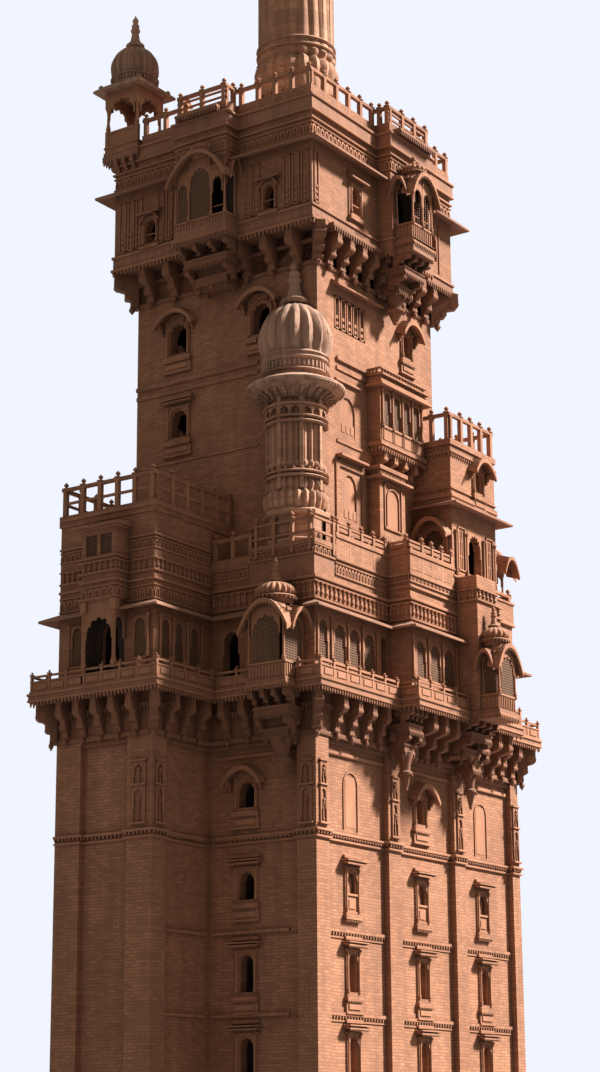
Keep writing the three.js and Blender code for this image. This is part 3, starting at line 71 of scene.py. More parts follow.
# Heights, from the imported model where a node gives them
SLAB, BALCONY = (corner.z for corner in real_box("balcony_slab"))
BED = real_box("balcony_brackets")[1].z - 1.6
RAIL = real_box("balcony_parapet")[1].z
TERRACE_SOFFIT, TERRACE = (corner.z for corner in real_box("terrace_slab"))
TOP_SOFFIT, TOP_FLOOR = (corner.z for corner in real_box("upper_floor"))
ROOF_SOFFIT, ROOF = (corner.z for corner in real_box("roof_slab"))
ROOF_RAIL = real_box("roof_railing")[1].z
WING_RAIL = real_box("west_bay_roof")[1].z


# Modelling helpers
def deselect():
    bpy.ops.object.select_all(action="DESELECT")


def edit():
    bpy.ops.object.mode_set(mode="EDIT")


def done():
    bpy.ops.object.mode_set(mode="OBJECT")
    return bpy.context.object


def close_up():
    bpy.ops.mesh.select_all(action="SELECT")
    bpy.ops.mesh.remove_doubles(threshold=0.0005)
    bpy.ops.mesh.normals_make_consistent(inside=False)


def pen(points):
    """Draws a line from point to point and stays in edit mode."""
    deselect()
    bpy.ops.mesh.primitive_plane_add(size=0.1)
    edit()
    bpy.ops.mesh.merge(type="CENTER")
    bpy.ops.transform.translate(value=points[0])
    for here, there in zip(points, points[1:]):
        step = Vector(there) - Vector(here)
        bpy.ops.mesh.extrude_vertices_move(TRANSFORM_OT_translate={"value": step})


def push(step):
    bpy.ops.mesh.extrude_region_move(TRANSFORM_OT_translate={"value": step})


def plate(points, step):
    """An outline, filled in and thickened along step."""
    pen(points)
    bpy.ops.mesh.select_all(action="SELECT")
    bpy.ops.mesh.edge_face_add()
    push(step)
    close_up()
    return done()


def turned(profile, steps=16):
    """A piece turned about its upright axis. Profile points are radius and height."""
    pen([(radius, 0, z) for radius, z in profile])
    bpy.ops.mesh.select_all(action="SELECT")
    bpy.ops.mesh.spin(steps=steps, angle=math.tau, center=(0, 0, 0), axis=(0, 0, 1))
    close_up()
    return done()


def box(x0, x1, y0, y1, z0, z1, bevel=0.0):
    deselect()
    centre = ((x0 + x1) / 2, (y0 + y1) / 2, (z0 + z1) / 2)
    bpy.ops.mesh.primitive_cube_add(size=1, location=centre, scale=(x1 - x0, y1 - y0, z1 - z0))
    piece = bpy.context.object
    bpy.ops.object.transform_apply(location=True, rotation=True, scale=True)
    if bevel:
        edit()
        bpy.ops.mesh.select_all(action="SELECT")
        bpy.ops.mesh.bevel(offset=bevel, segments=1, affect="EDGES")
        done()
    return piece


def join(parts):
    deselect()
    for part in parts:
        part.select_set(True)
    bpy.context.view_layer.objects.active = parts[0]
    if len(parts) > 1:
        bpy.ops.object.join()
    return bpy.context.object


def copies(piece, places):
    """The piece repeated at every place, as one mesh."""
    twins = []
    for place in places:
        twin = piece.copy()
        twin.data = piece.data.copy()
        twin.matrix_world = place @ piece.matrix_world
        bpy.context.collection.objects.link(twin)
        twins.append(twin)
    bpy.data.objects.remove(piece)
    return join(twins)


def grooved(piece, count, depth, z0=-1000.0, z1=1000.0):
    """Draws in the meridians between ribs: each rib spans four steps of a turned piece."""
    deselect()
    piece.select_set(True)
    bpy.context.view_layer.objects.active = piece
    edit()
    mesh = bmesh.from_edit_mesh(piece.data)
    for phases, share in (((0,), 1.0), ((1, 3), 0.34)):
        bpy.ops.mesh.select_all(action="DESELECT")
        for vertex in mesh.verts:
            turn = math.atan2(vertex.co.y, vertex.co.x) / math.tau * count * 4
            on_axis = math.hypot(vertex.co.x, vertex.co.y) < 0.01
            if round(turn) % 4 in phases and z0 < vertex.co.z < z1 and not on_axis:
                vertex.select_set(True)
        mesh.select_flush_mode()
        bmesh.update_edit_mesh(piece.data)
        factor = 1 - depth * share
        bpy.ops.transform.resize(value=(factor, factor, 1), center_override=(0, 0, 0))
    return done()


def moved(piece, x=0.0, y=0.0, z=0.0):
    piece.matrix_world = Matrix.Translation((x, y, z)) @ piece.matrix_world
    return piece


def finish(piece, name, material, smooth=30, replaces=()):
    """Puts a piece in the model's place and size, gives it its stone, and hands it to the building."""
    deselect()
    piece.select_set(True)
    bpy.context.view_layer.objects.active = piece
    piece.matrix_world = TO_MODEL @ piece.matrix_world
    bpy.ops.object.transform_apply(location=True, rotation=True, scale=True)
    bpy.ops.object.shade_smooth_by_angle(angle=math.radians(smooth))
    piece.name = piece.data.name = name
    piece.data.materials.clear()
    piece.data.materials.append(material)
    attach(piece, "root")
    if replaces:
        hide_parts(*replaces)
    return piece


# Places on the building. A piece is modelled facing -Y, with its back at y = 0.
class Face:
    YAW = {"front": 0, "west": -90, "back": 180, "east": 90}

    def __init__(self, side, at):
        self.side, self.at = side, at
        self.yaw = Matrix.Rotation(math.radians(self.YAW[side]), 4, "Z")

    def spot(self, u, z=0.0, out=0.0):
        away = self.at + (out if self.side in ("back", "east") else -out)
        place = (u, away, z) if self.side in ("front", "back") else (away, u, z)
        return Matrix.Translation(place) @ self.yaw

    def row(self, u0, u1, pitch, z=0.0, out=0.0):
        count = max(1, round((u1 - u0) / pitch))
        return [self.spot(u0 + (u1 - u0) * (i + 0.5) / count, z, out) for i in range(count)]


def along(path, spacing, inset=0.0, out=0.0, z=0.0, gap=0.0):
    """Places along each stretch of a plan path, facing away from its right side.

    A place nearer than gap to one before it is left out, such as a corner's second post.
    """
    places = []
    for (x0, y0), (x1, y1) in zip(path, path[1:]):
        length = math.hypot(x1 - x0, y1 - y0)
        dx, dy = (x1 - x0) / length, (y1 - y0) / length
        steps = max(1, round((length - 2 * inset) / spacing))
        yaw = Matrix.Rotation(math.atan2(dy, dx), 4, "Z")
        for k in range(steps + 1):
            t = inset + (length - 2 * inset) * k / steps
            place = Vector((x0 + dx * t + dy * out, y0 + dy * t - dx * out, z))
            if all((place - other.translation).length > gap for other in places):
                places.append(Matrix.Translation(place) @ yaw)
    return places


def offset(path, out, closed=False):
    """A plan path moved to its right by out, with mitred corners."""
    count = len(path)
    normals = []
    for i, (x, y) in enumerate(path):
        nx, ny = path[(i + 1) % count]
        length = math.hypot(nx - x, ny - y) or 1.0
        normals.append(((ny - y) / length, (x - nx) / length))
    moved_path = []
    for i, (x, y) in enumerate(path):
        after = normals[i if closed or i < count - 1 else i - 1]
        before = normals[i - 1] if i or closed else normals[0]
        share = 1 + before[0] * after[0] + before[1] * after[1]
        moved_path.append((x + (before[0] + after[0]) / share * out, y + (before[1] + after[1]) / share * out))
    return moved_path


def band(path, near, far, z0, z1, closed=False, bevel=0.0):
    """A square moulding or rail along a plan path, between two offsets and two heights."""
    outer = [(x, y, z0) for x, y in offset(path, far, closed)]
    inner = [(x, y, z0) for x, y in offset(path, near, closed)]
    if closed:
        parts = []
        for line in (outer, inner):
            pen(line)
            bpy.ops.mesh.select_all(action="SELECT")
            bpy.ops.mesh.edge_face_add()
            bpy.ops.mesh.delete(type="ONLY_FACE")
            parts.append(done())
        piece = join(parts)
        edit()
        bpy.ops.mesh.select_all(action="SELECT")
        bpy.ops.mesh.bridge_edge_loops()
        bpy.ops.mesh.select_all(action="SELECT")
        push((0, 0, z1 - z0))
        close_up()
        done()
    else:
        piece = plate(outer + inner[::-1], (0, 0, z1 - z0))
    if bevel:
        edge = piece.modifiers.new("edge", "BEVEL")
        edge.width = bevel
        edge.segments = 2
        bpy.ops.object.modifier_apply(modifier=edge.name)
    return piece


# Stone finishes
class Graph:
    """Adds nodes to a node tree and joins them up."""

    def __init__(self, tree):
        self.tree = tree

    def add(self, kind, inputs=None, **settings):
        node = self.tree.nodes.new("ShaderNode" + kind)
        for key, value in settings.items():
            setattr(node, key, value)
        for key, value in (inputs or {}).items():
            if isinstance(value, bpy.types.NodeSocket):
                self.tree.links.new(value, node.inputs[key])
            else:
                node.inputs[key].default_value = value
        return node

    def math(self, operation, a, b=0.0):
        return self.add("Math", {0: a, 1: b}, operation=operation).outputs[0]

    def mix(self, factor, a, b, blend="MIX"):
        node = self.add("Mix", {0: factor, 6: a, 7: b}, data_type="RGBA", blend_type=blend)
        return node.outputs[2]

    def noise(self, vector, scale, detail=4.0, rough=0.55):
        inputs = {"Vector": vector, "Scale": scale, "Detail": detail, "Roughness": rough}
        return self.add("TexNoise", inputs).outputs["Fac"]

    def spread(self, value, low, high):
        inputs = {0: value, 1: low, 2: high, 3: 0.0, 4: 1.0}
        return self.add("MapRange", inputs).outputs[0]

    def group(self, name, inputs):
        node = self.add("Group", node_tree=bpy.data.node_groups[name])
        for key, value in inputs.items():
            if isinstance(value, bpy.types.NodeSocket):
                self.tree.links.new(value, node.inputs[key])
            else:
                node.inputs[key].default_value = value
        return node.outputs


def effect(name, inputs, outputs):
    """An empty node group with named sockets; gives its graph, its inputs and its output node."""
    tree = bpy.data.node_groups.new(name, "ShaderNodeTree")
    for label, kind, value in inputs:
        made = tree.interface.new_socket(label, in_out="INPUT", socket_type="NodeSocket" + kind)
        if value is not None:
            made.default_value = value
    for label, kind in outputs:
        tree.interface.new_socket(label, in_out="OUTPUT", socket_type="NodeSocket" + kind)
    graph = Graph(tree)
    return graph, tree.nodes.new("NodeGroupInput").outputs, tree.nodes.new("NodeGroupOutput").inputs


def join_up(graph, value, target):
    graph.tree.links.new(value, target)


def course_effect():
    """Squared masonry on any upright wall: a tone for each block, and the joints between them."""
    inputs = [("Vector", "Vector", None), ("Course", "Float", 0.06), ("Length", "Float", 0.17)]
    graph, given, out = effect("masonry courses", inputs, [("Tone", "Float"), ("Joint", "Float")])
    parts = graph.add("SeparateXYZ", {0: given["Vector"]}).outputs
    run_on = graph.math("ADD", parts[0], parts[1])
    wobble = graph.math("MULTIPLY", graph.noise(given["Vector"], 1.3, 2.0), 0.012)
    flat = graph.add("CombineXYZ", {0: run_on, 1: graph.math("ADD", parts[2], wobble)}).outputs[0]
    brick = graph.add("TexBrick", {
        "Vector": flat, "Color1": (0, 0, 0, 1), "Color2": (1, 1, 1, 1), "Mortar": (0.5, 0.5, 0.5, 1),
        "Scale": 1.0, "Mortar Size": 0.0045, "Mortar Smooth": 0.3, "Bias": 0.0,
        "Brick Width": given["Length"], "Row Height": given["Course"],
    })
    join_up(graph, brick.outputs["Color"], out["Tone"])
    join_up(graph, brick.outputs["Fac"], out["Joint"])


def weather_effect():
    """Soft patches, rain streaks that run down, and the stone's own grain."""
    inputs = [("Vector", "Vector", None), ("Size", "Float", 1.0)]
    outputs = [("Patch", "Float"), ("Streak", "Float"), ("Grain", "Float"), ("Pits", "Float")]
    graph, given, out = effect("weathering", inputs, outputs)
    patch = graph.noise(given["Vector"], graph.math("MULTIPLY", given["Size"], 0.55), 5.0, 0.6)
    stretched = graph.add("Mapping", {"Vector": given["Vector"], "Scale": (4.2, 4.2, 0.35)}).outputs[0]
    streak = graph.noise(stretched, graph.math("MULTIPLY", given["Size"], 1.0), 4.0, 0.6)
    join_up(graph, graph.spread(patch, 0.32, 0.68), out["Patch"])
    join_up(graph, graph.spread(streak, 0.42, 0.72), out["Streak"])
    join_up(graph, graph.noise(given["Vector"], 75.0, 6.0, 0.7), out["Grain"])
    join_up(graph, graph.noise(given["Vector"], 9.0, 5.0, 0.65), out["Pits"])


def painted_hollow_shade_effect():
    """Painted shade in hollows and under ledges, from ambient occlusion: 1 in the open, 0 deep in a corner."""
    graph, given, out = effect("painted hollow shade", [("Reach", "Float", 0.2)], [("Open", "Float")])
    hollow = graph.add("AmbientOcclusion", {"Distance": given["Reach"]}, samples=4)
    join_up(graph, graph.spread(hollow.outputs["AO"], 0.25, 0.95), out["Open"])


def painted_room_shade_effect():
    """1 inside the rooms, whose stone is painted almost black as shade, and 0 on the outer faces."""
    graph, given, out = effect("painted room shade", [("Vector", "Vector", None)], [("Inside", "Float")])
    inside = 0.0
    for x0, x1, y0, y1, z0, z1 in ROOMS:
        low, high = TO_MODEL @ Vector((x0, y0, z0)), TO_MODEL @ Vector((x1, y1, z1))
        from_middle = graph.add("VectorMath", {0: given["Vector"], 1: (low + high) / 2}, operation="SUBTRACT").outputs[0]
        away = graph.add("VectorMath", {0: from_middle}, operation="ABSOLUTE").outputs[0]
        beyond = graph.add("VectorMath", {0: away, 1: (high - low) / 2}, operation="SUBTRACT").outputs[0]
        parts = graph.add("SeparateXYZ", {0: beyond}).outputs
        most = graph.math("MAXIMUM", graph.math("MAXIMUM", parts[0], parts[1]), parts[2])
        inside = graph.math("MAXIMUM", graph.math("LESS_THAN", most, 0.0), inside)
    join_up(graph, inside, out["Inside"])


def stone(name, light, deep, course=0.0, length=0.17, streaks=0.35, hollow_shade=0.6, top_grey=0.35, size=1.0):
    """A sandstone: its light and deep tones, its courses if it is built of blocks, its weather, and painted shade in
    hollows and inside the rooms.
    """
    material = bpy.data.materials.new(name)
    material.use_nodes = True
    graph = Graph(material.node_tree)
    shader = material.node_tree.nodes["Principled BSDF"]
    place = graph.add("TexCoord").outputs["Object"]
    weather = graph.group("weathering", {"Vector": place, "Size": size})
    colour = graph.mix(weather["Patch"], (*deep, 1), (*light, 1))
    height = graph.math("MULTIPLY", weather["Grain"], 0.35)
    if course:
        masonry = graph.group("masonry courses", {"Vector": place, "Course": course, "Length": length})
        tone = graph.spread(masonry["Tone"], 0.0, 1.0)
        shade = graph.math("ADD", graph.math("MULTIPLY", tone, 0.34), 0.82)
        toned = graph.add("CombineColor", {0: shade, 1: shade, 2: shade}).outputs[0]
        colour = graph.mix(1.0, colour, toned, "MULTIPLY")
        joint = graph.math("MULTIPLY", masonry["Joint"], 0.7)
        colour = graph.mix(joint, colour, (0.2, 0.09, 0.05, 1))
        height = graph.math("SUBTRACT", height, graph.math("MULTIPLY", masonry["Joint"], 0.9))
    runs = graph.math("MULTIPLY", weather["Streak"], streaks)
    colour = graph.mix(runs, colour, (0.16, 0.085, 0.06, 1))
    pits = graph.math("MULTIPLY", graph.spread(weather["Pits"], 0.5, 0.75), 0.22)
    colour = graph.mix(pits, colour, (*deep, 1))
    normal = graph.add("NewGeometry").outputs["Normal"]
    upward = graph.add("SeparateXYZ", {0: normal}).outputs[2]
    settled = graph.math("MULTIPLY", graph.spread(upward, 0.35, 0.95), top_grey)
    colour = graph.mix(settled, colour, (0.36, 0.27, 0.22, 1))
    # Painted shade: hollows, corners and the undersides of ledges are darkened towards near-black by ambient occlusion.
    hollow = graph.group("painted hollow shade", {"Reach": 0.3})["Open"]
    hidden = graph.math("MULTIPLY", graph.math("SUBTRACT", 1.0, hollow), hollow_shade)
    colour = graph.mix(hidden, colour, (0.1, 0.045, 0.028, 1))
    # A plain tint by height: stone up to a tenth lighter low down and a little darker high up.
    rise = graph.spread(graph.add("SeparateXYZ", {0: place}).outputs[2], 7.0, 24.0)
    height_tint = graph.mix(rise, (1.1, 1.1, 1.1, 1), (0.96, 0.96, 0.96, 1))
    colour = graph.mix(1.0, colour, height_tint, "MULTIPLY")
    # Painted shade: every surface inside the room boxes is turned almost black.
    room_shade = graph.group("painted room shade", {"Vector": place})["Inside"]
    colour = graph.mix(room_shade, colour, (0.035, 0.018, 0.012, 1))
    join_up(graph, colour, shader.inputs["Base Color"])
    rough = graph.math("ADD", graph.math("MULTIPLY", weather["Grain"], 0.16), 0.8)
    join_up(graph, rough, shader.inputs["Roughness"])
    bump = graph.add("Bump", {"Strength": 0.75, "Distance": 0.006, "Height": height})
    join_up(graph, bump.outputs[0], shader.inputs["Normal"])
    return material


# The rooms, whose inner faces are painted dark as shade, in real metres: x, y and z from and to
ROOMS = (
    (0.75, 14.5, 0.75, 9.7, 0.0, SLAB), (0.45, 14.8, 0.45, 10.0, SLAB, TERRACE), (-3.2, 0.5, 5.2, 9.1, SLAB, 25.4),
    (1.95, 9.6, 1.25, 9.2, TERRACE, TOP_SOFFIT), (0.95, 10.9, 0.75, 9.9, TOP_SOFFIT, 42.2),
    (8.9, 11.8, -0.7, 2.9, TERRACE, 29.8), (5.5, 8.4, -0.7, 0.5, SLAB, TERRACE), (8.95, 9.9, -1.75, 0.5, SLAB, 23.0),
    (-1.27, 0.5, 0.51, 2.0, SLAB, 21.0), (8.83, 10.02, -2.77, -1.7, SLAB, 20.75), (-0.2, 1.0, 4.04, 6.42, 37.6, 40.55),
    (5.62, 7.03, -1.17, 0.8, 37.9, 40.47), (-4.26, -3.4, 6.2, 7.6, SLAB, 21.6),
)

course_effect()
weather_effect()
painted_hollow_shade_effect()
painted_room_shade_effect()

WALL = stone("coursed sandstone", (0.50, 0.235, 0.135), (0.37, 0.165, 0.092), course=0.06)
CARVED = stone("carved sandstone", (0.52, 0.245, 0.14), (0.39, 0.173, 0.098), hollow_shade=0.8)
LEDGE = stone("weathered ledge sandstone", (0.45, 0.215, 0.13), (0.31, 0.145, 0.09), streaks=0.5)
DOME = stone("rain-washed dome sandstone", (0.69, 0.41, 0.29), (0.44, 0.26, 0.185), streaks=0.75, size=1.6)
COLUMN = stone("drum-built sandstone", (0.72, 0.385, 0.24), (0.53, 0.28, 0.18), course=0.17, length=0.6,
               streaks=0.5, size=1.4)
# Painted shade: the screens' stone is made much darker than the walls, standing in for the shaded rooms seen through
# their holes.
SHADE_DARKENED_SCREEN = stone("pierced screen sandstone darkened as painted shade", (0.2, 0.105, 0.062), (0.14, 0.073, 0.044), hollow_shade=0.5)
# Painted shade: the brackets' stone is made darker than the ledges to stand in for the shadow under the balconies.
BRACKET_SHADE_STONE = stone("bracket sandstone darkened as painted shade", (0.35, 0.152, 0.084), (0.22, 0.094, 0.053), streaks=0.5, hollow_shade=0.9)

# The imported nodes' own stone
LEDGE_NODES = (
    "balcony_slab", "main_chajja", "side_chajja", "terrace_slab", "upper_floor", "upper_chajja",
    "rear_upper_chajja", "roof_slab", "lower_floor_1", "lower_floor_2", "lower_floor_3", "shaft_floor_1",
    "shaft_floor_2", "balcony_brackets", "upper_brackets",
)
for node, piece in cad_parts.items():
    piece.data.materials.clear()
    piece.data.materials.append(LEDGE if node in LEDGE_NODES else WALL)


# Carved stock pieces
def bracket(reach, height, width=0.26):
    """A scroll bracket with its top at z = 0: a big rolled nose, two smaller ones under it, and a bud."""
    noses = ((1.0, -0.02, -0.5, 0.5), (0.56, -0.46, -0.76, 0.36), (0.32, -0.72, -0.97, 0.24))
    outline = [(0, -height), (0, 0), (reach, 0)]
    rolls = []
    for share, top, low, _ in noses:
        out, z0, z1 = share * reach, top * height, low * height
        r = min(0.3 * (z0 - z1), 0.3 * reach)
        outline += [(out, z0 - 0.1 * height * share), (out, z0 - 0.5 * (z0 - z1)), (out - 0.4 * r, z1 + 0.5 * r),
                    (out - 1.3 * r, z1 + 0.1 * r)]
        rolls.append((out - 0.85 * r, (z0 + z1) / 2 - 0.15 * (z0 - z1), 0.92 * r))
    outline.append((0.12 * reach, -height))
    body = plate([(-width / 2, -out, z) for out, z in outline], (width, 0, 0))
    parts = [body]
    for out, z, radius in rolls:
        deselect()
        bpy.ops.mesh.primitive_cylinder_add(vertices=12, radius=radius, depth=width * 1.22, location=(0, -out, z),
                                            rotation=(0, math.pi / 2, 0))
        parts.append(bpy.context.object)
    parts.append(moved(bud(0.4 * width, 0.22 * height, 6), 0, -0.26 * reach, -0.93 * height))
    return join(parts)


def bud(radius, height, steps=8):
    """A lotus bud that hangs from z = 0."""
    profile = [
        (0, 0), (radius * 0.75, 0), (radius * 0.6, -0.14 * height), (radius, -0.3 * height),
        (radius, -0.5 * height), (radius * 0.55, -0.75 * height), (radius * 0.25, -0.85 * height),
        (radius * 0.3, -0.93 * height), (0, -height),
    ]
    return turned(profile, steps)


def knob(radius, height, steps=8):
    """A ball finial that stands on z = 0."""
    profile = [
        (0, 0), (radius * 0.7, 0), (radius * 0.45, 0.18 * height), (radius, 0.42 * height),
        (radius * 0.85, 0.66 * height), (radius * 0.3, 0.82 * height), (0, height),
    ]
    return turned(profile, steps)


def tooth(width, depth, height):
    """One drop of a hanging fringe, its back at y = 0 and its top at z = 0."""
    piece = box(-width / 2, width / 2, -depth, 0, -height, 0)
    edit()
    mesh = bmesh.from_edit_mesh(piece.data)
    for face in mesh.faces:
        face.select_set(face.normal.z < -0.9)
    bmesh.update_edit_mesh(piece.data)
    bpy.ops.transform.resize(value=(0.3, 0.45, 1))
    return done()


def column(radius, height, steps=10):
    """A slender shaft with a bulbous foot and a flared head, standing on z = 0."""
    r = radius
    profile = [
        (0, 0), (1.5 * r, 0), (1.5 * r, 0.5 * r), (1.1 * r, 0.8 * r), (1.45 * r, 1.8 * r), (1.3 * r, 3.2 * r),
        (0.9 * r, 4.0 * r), (1.1 * r, 4.4 * r), (0.85 * r, 4.9 * r), (0.75 * r, height - 3.4 * r),
        (1.05 * r, height - 3.0 * r), (0.8 * r, height - 2.5 * r), (1.2 * r, height - 1.5 * r),
        (1.55 * r, height - 0.7 * r), (1.55 * r, height), (0, height),
    ]
    return turned(profile, steps)


def cusps(half, spring, rise, lobes=5):
    """The inner line of a cusped arch from its right foot over to its left foot."""
    points = []
    for lobe in range(lobes):
        for share in (0.0, 0.3, 0.7):
            a = math.pi * (lobe + share) / lobes
            swell = 0.8 + 0.2 * math.sin(math.pi * share)
            if lobe == 0 and share == 0:
                swell = 1.0
            points.append((half * swell * math.cos(a), spring + rise * swell * math.sin(a)))
    points.append((-half, spring))
    return points


def arch_line(half, z0, z1, width=0.05):
    """The raised outline of a blind arch, its foot at z0; it stands proud of y = 0."""
    turns = [math.radians(180 * i / 12) for i in range(13)]
    spring = z1 - half
    points = []
    for r in (half, half - width):
        line = [(r, z0)] + [(r * math.cos(a), spring + r * math.sin(a)) for a in turns] + [(-r, z0)]
        points += line if r == half else line[::-1]
    return plate([(x, -0.045, z) for x, z in points], (0, 0.07, 0))


PROUD = 0.015


def cusped_arch(half, z0, z1, jamb=0.06, margin=0.02, thick=0.08, lobes=5):
    """A cusped arch plate that fills an opening's head and jambs; its face stands just proud of y = 0."""
    inner = half - jamb
    rise = half * 1.05
    top = z1 + margin
    outline = [(-half - margin, z0), (-half - margin, top), (half + margin, top), (half + margin, z0), (inner, z0)]
    outline += cusps(inner, z1 - rise, rise - jamb, lobes)
    outline.append((-inner, z0))
    return plate([(x, -PROUD, z) for x, z in outline], (0, thick, 0))


def screen(half, z0, z1, cell=0.1, bar=0.46, thick=0.035):
    """A pierced stone screen: a grid of square holes, its face at y = 0."""
    across = max(3, round(2 * half / cell))
    up = max(3, round((z1 - z0) / cell))
    deselect()
    bpy.ops.mesh.primitive_grid_add(x_subdivisions=across, y_subdivisions=up, size=1)
    piece = bpy.context.object
    piece.matrix_world = (
        Matrix.Translation((0, 0, (z0 + z1) / 2)) @ Matrix.Rotation(math.radians(90), 4, "X")
        @ Matrix.Diagonal((2 * half, z1 - z0, 1, 1))
    )
    bpy.ops.object.transform_apply(location=True, rotation=True, scale=True)
    edit()
    bpy.ops.mesh.select_all(action="SELECT")
    bpy.ops.mesh.inset(thickness=cell * bar / 2, use_individual=True)
    bpy.ops.mesh.delete(type="FACE")
    bpy.ops.mesh.select_all(action="SELECT")
    push((0, thick, 0))
    close_up()
    return done()


def hood(half, tip, rise, reach, drop=0.16, thick=0.12, steps=18, droop=2.2):
    """A bowed hood: an arched eave that slopes outwards, fluted on top, with a rolled edge."""
    ts = [2 * i / steps - 1 for i in range(steps + 1)]
    curve = [(half * t, tip + rise * (1 - abs(t) ** droop)) for t in ts]
    over = [(x, 0, z + thick) for x, z in curve]
    under = [(x * 0.985, 0, z) for x, z in reversed(curve)]
    shell = plate(over + under, (0, -reach, 0))
    edit()
    mesh = bmesh.from_edit_mesh(shell.data)
    for vertex in mesh.verts:
        vertex.select_set(vertex.co.y < -reach + 0.001)
    mesh.select_flush_mode()
    bmesh.update_edit_mesh(shell.data)
    bpy.ops.transform.translate(value=(0, 0, -drop))
    for face in mesh.faces:
        face.select_set(face.normal.z > 0.05 and abs(face.normal.y) < 0.8)
    mesh.select_flush_mode()
    bmesh.update_edit_mesh(shell.data)
    bpy.ops.mesh.inset(thickness=min(0.03, half / steps * 0.4), depth=-0.025, use_individual=True)
    done()
    lip_over = [(x * 1.01, -reach - 0.05, z + thick + 0.02 - drop) for x, z in curve]
    lip_under = [(x * 0.99, -reach - 0.05, z - 0.03 - drop) for x, z in reversed(curve)]
    lip = plate(lip_over + lip_under, (0, 0.1, 0))
    return join([shell, lip])


def spire(scale, height, steps=16):
    """A dome's finial on z = 0: a lotus collar, a tapering neck, a ring, a ball and a bud with a point."""
    s, h = scale, height
    profile = [
        (0, -0.02), (0.9 * s, -0.02), (s, 0.02 * h), (1.02 * s, 0.07 * h), (0.86 * s, 0.11 * h),
        (0.66 * s, 0.13 * h), (0.5 * s, 0.24 * h), (0.37 * s, 0.44 * h), (0.5 * s, 0.48 * h),
        (0.52 * s, 0.53 * h), (0.36 * s, 0.57 * h), (0.43 * s, 0.63 * h), (0.4 * s, 0.68 * h),
        (0.22 * s, 0.73 * h), (0.35 * s, 0.79 * h), (0.3 * s, 0.85 * h), (0.1 * s, 0.92 * h), (0, h),
    ]
    return turned(profile, steps)


def lobed_dome(radius, height, ribs, finial, depth=0.1):
    """A ribbed dome that stands on z = 0, with its finial."""
    profile = [(0, 0), (0.84 * radius, 0), (0.93 * radius, 0.08 * height), (0.985 * radius, 0.18 * height)]
    for angle in (4, 16, 28, 40, 52, 63, 73, 81):
        a = math.radians(angle)
        profile.append((radius * math.cos(a), height * (0.28 + 0.68 * math.sin(a))))
    profile.append((0, height * 0.985))
    shell = grooved(turned(profile, ribs * 4), ribs, depth, 0.02, height * 0.95)
    cap = moved(spire(radius * 0.38, finial), 0, 0, height * 0.96)
    return join([shell, cap])


def niche_panel(width, z0, z1):
    """A pier's carved panel: a framed cusped niche over another, with a ledge between."""
    w, middle = width / 2, z0 + 0.6 * (z1 - z0)
    parts = []
    for low, high in ((z0, middle), (middle + 0.06, z1)):
        parts += [box(-w, -w + 0.06, -0.07, 0, low, high, 0.01), box(w - 0.06, w, -0.07, 0, low, high, 0.01),
                  box(-w, w, -0.07, 0, high - 0.06, high, 0.01)]
        parts.append(moved(cusped_arch(w - 0.07, low + 0.35 * (high - low), high - 0.08, 0.03, 0.0, 0.05, 3), 0, -0.05, 0))
        parts.append(moved(column(0.035, 0.5 * (high - low), 6), 0, -0.03, low + 0.02))
        parts.append(moved(knob(0.07, 0.2, 6), 0, -0.05, low + 0.52 * (high - low)))
    parts.append(box(-w - 0.06, w + 0.06, -0.12, 0, middle, middle + 0.07, 0.01))
    parts.append(box(-w - 0.08, w + 0.08, -0.13, 0, z0 - 0.08, z0, 0.01))
    parts.append(box(-w - 0.05, w + 0.05, -0.11, 0, z1, z1 + 0.07, 0.01))
    return join(parts)


def raised_frame(width, z0, z1, squares=0):
    """A tall raised frame, with small squares set one above another in its foot."""
    w = width / 2
    parts = [box(-w, -w + 0.05, -0.05, 0.02, z0, z1), box(w - 0.05, w, -0.05, 0.02, z0, z1),
             box(-w, w, -0.05, 0.02, z1 - 0.05, z1), box(-w, w, -0.05, 0.02, z0, z0 + 0.05)]
    side = width * 0.42
    for i in range(squares):
        z = z0 + 0.14 + i * (side + 0.12)
        parts.append(box(-side / 2, side / 2, -0.045, 0.02, z, z + side, 0.012))
    return join(parts)




def cut(piece, place, away):
    """Keeps what lies behind a plane."""
    deselect()
    piece.select_set(True)
    bpy.context.view_layer.objects.active = piece
    bpy.ops.object.transform_apply(location=True, rotation=True, scale=True)
    edit()
    bpy.ops.mesh.select_all(action="SELECT")
    bpy.ops.mesh.bisect(plane_co=place, plane_no=away, use_fill=True, clear_outer=True)
    return done()


def outside_shaft(piece):
    """Leaves off what would lie inside the shaft's corner, but for the skin of its walls."""
    corner = (SHAFT["x0"] + 0.02, SHAFT["y0"] + 0.02, 0)
    twin = piece.copy()
    twin.data = piece.data.copy()
    bpy.context.collection.objects.link(twin)
    west = cut(piece, corner, (1, 0, 0))
    south = cut(cut(twin, corner, (-1, 0, 0)), corner, (0, 1, 0))
    return join([west, south])


def ring_of(piece, count, radius, z, start=0.0):
    """Copies round an upright axis; the piece faces -Y."""
    places = []
    for i in range(count):
        turn = Matrix.Rotation(start + math.tau * i / count, 4, "Z")
        places.append(turn @ Matrix.Translation((0, -radius, z)))
    return copies(piece, places)


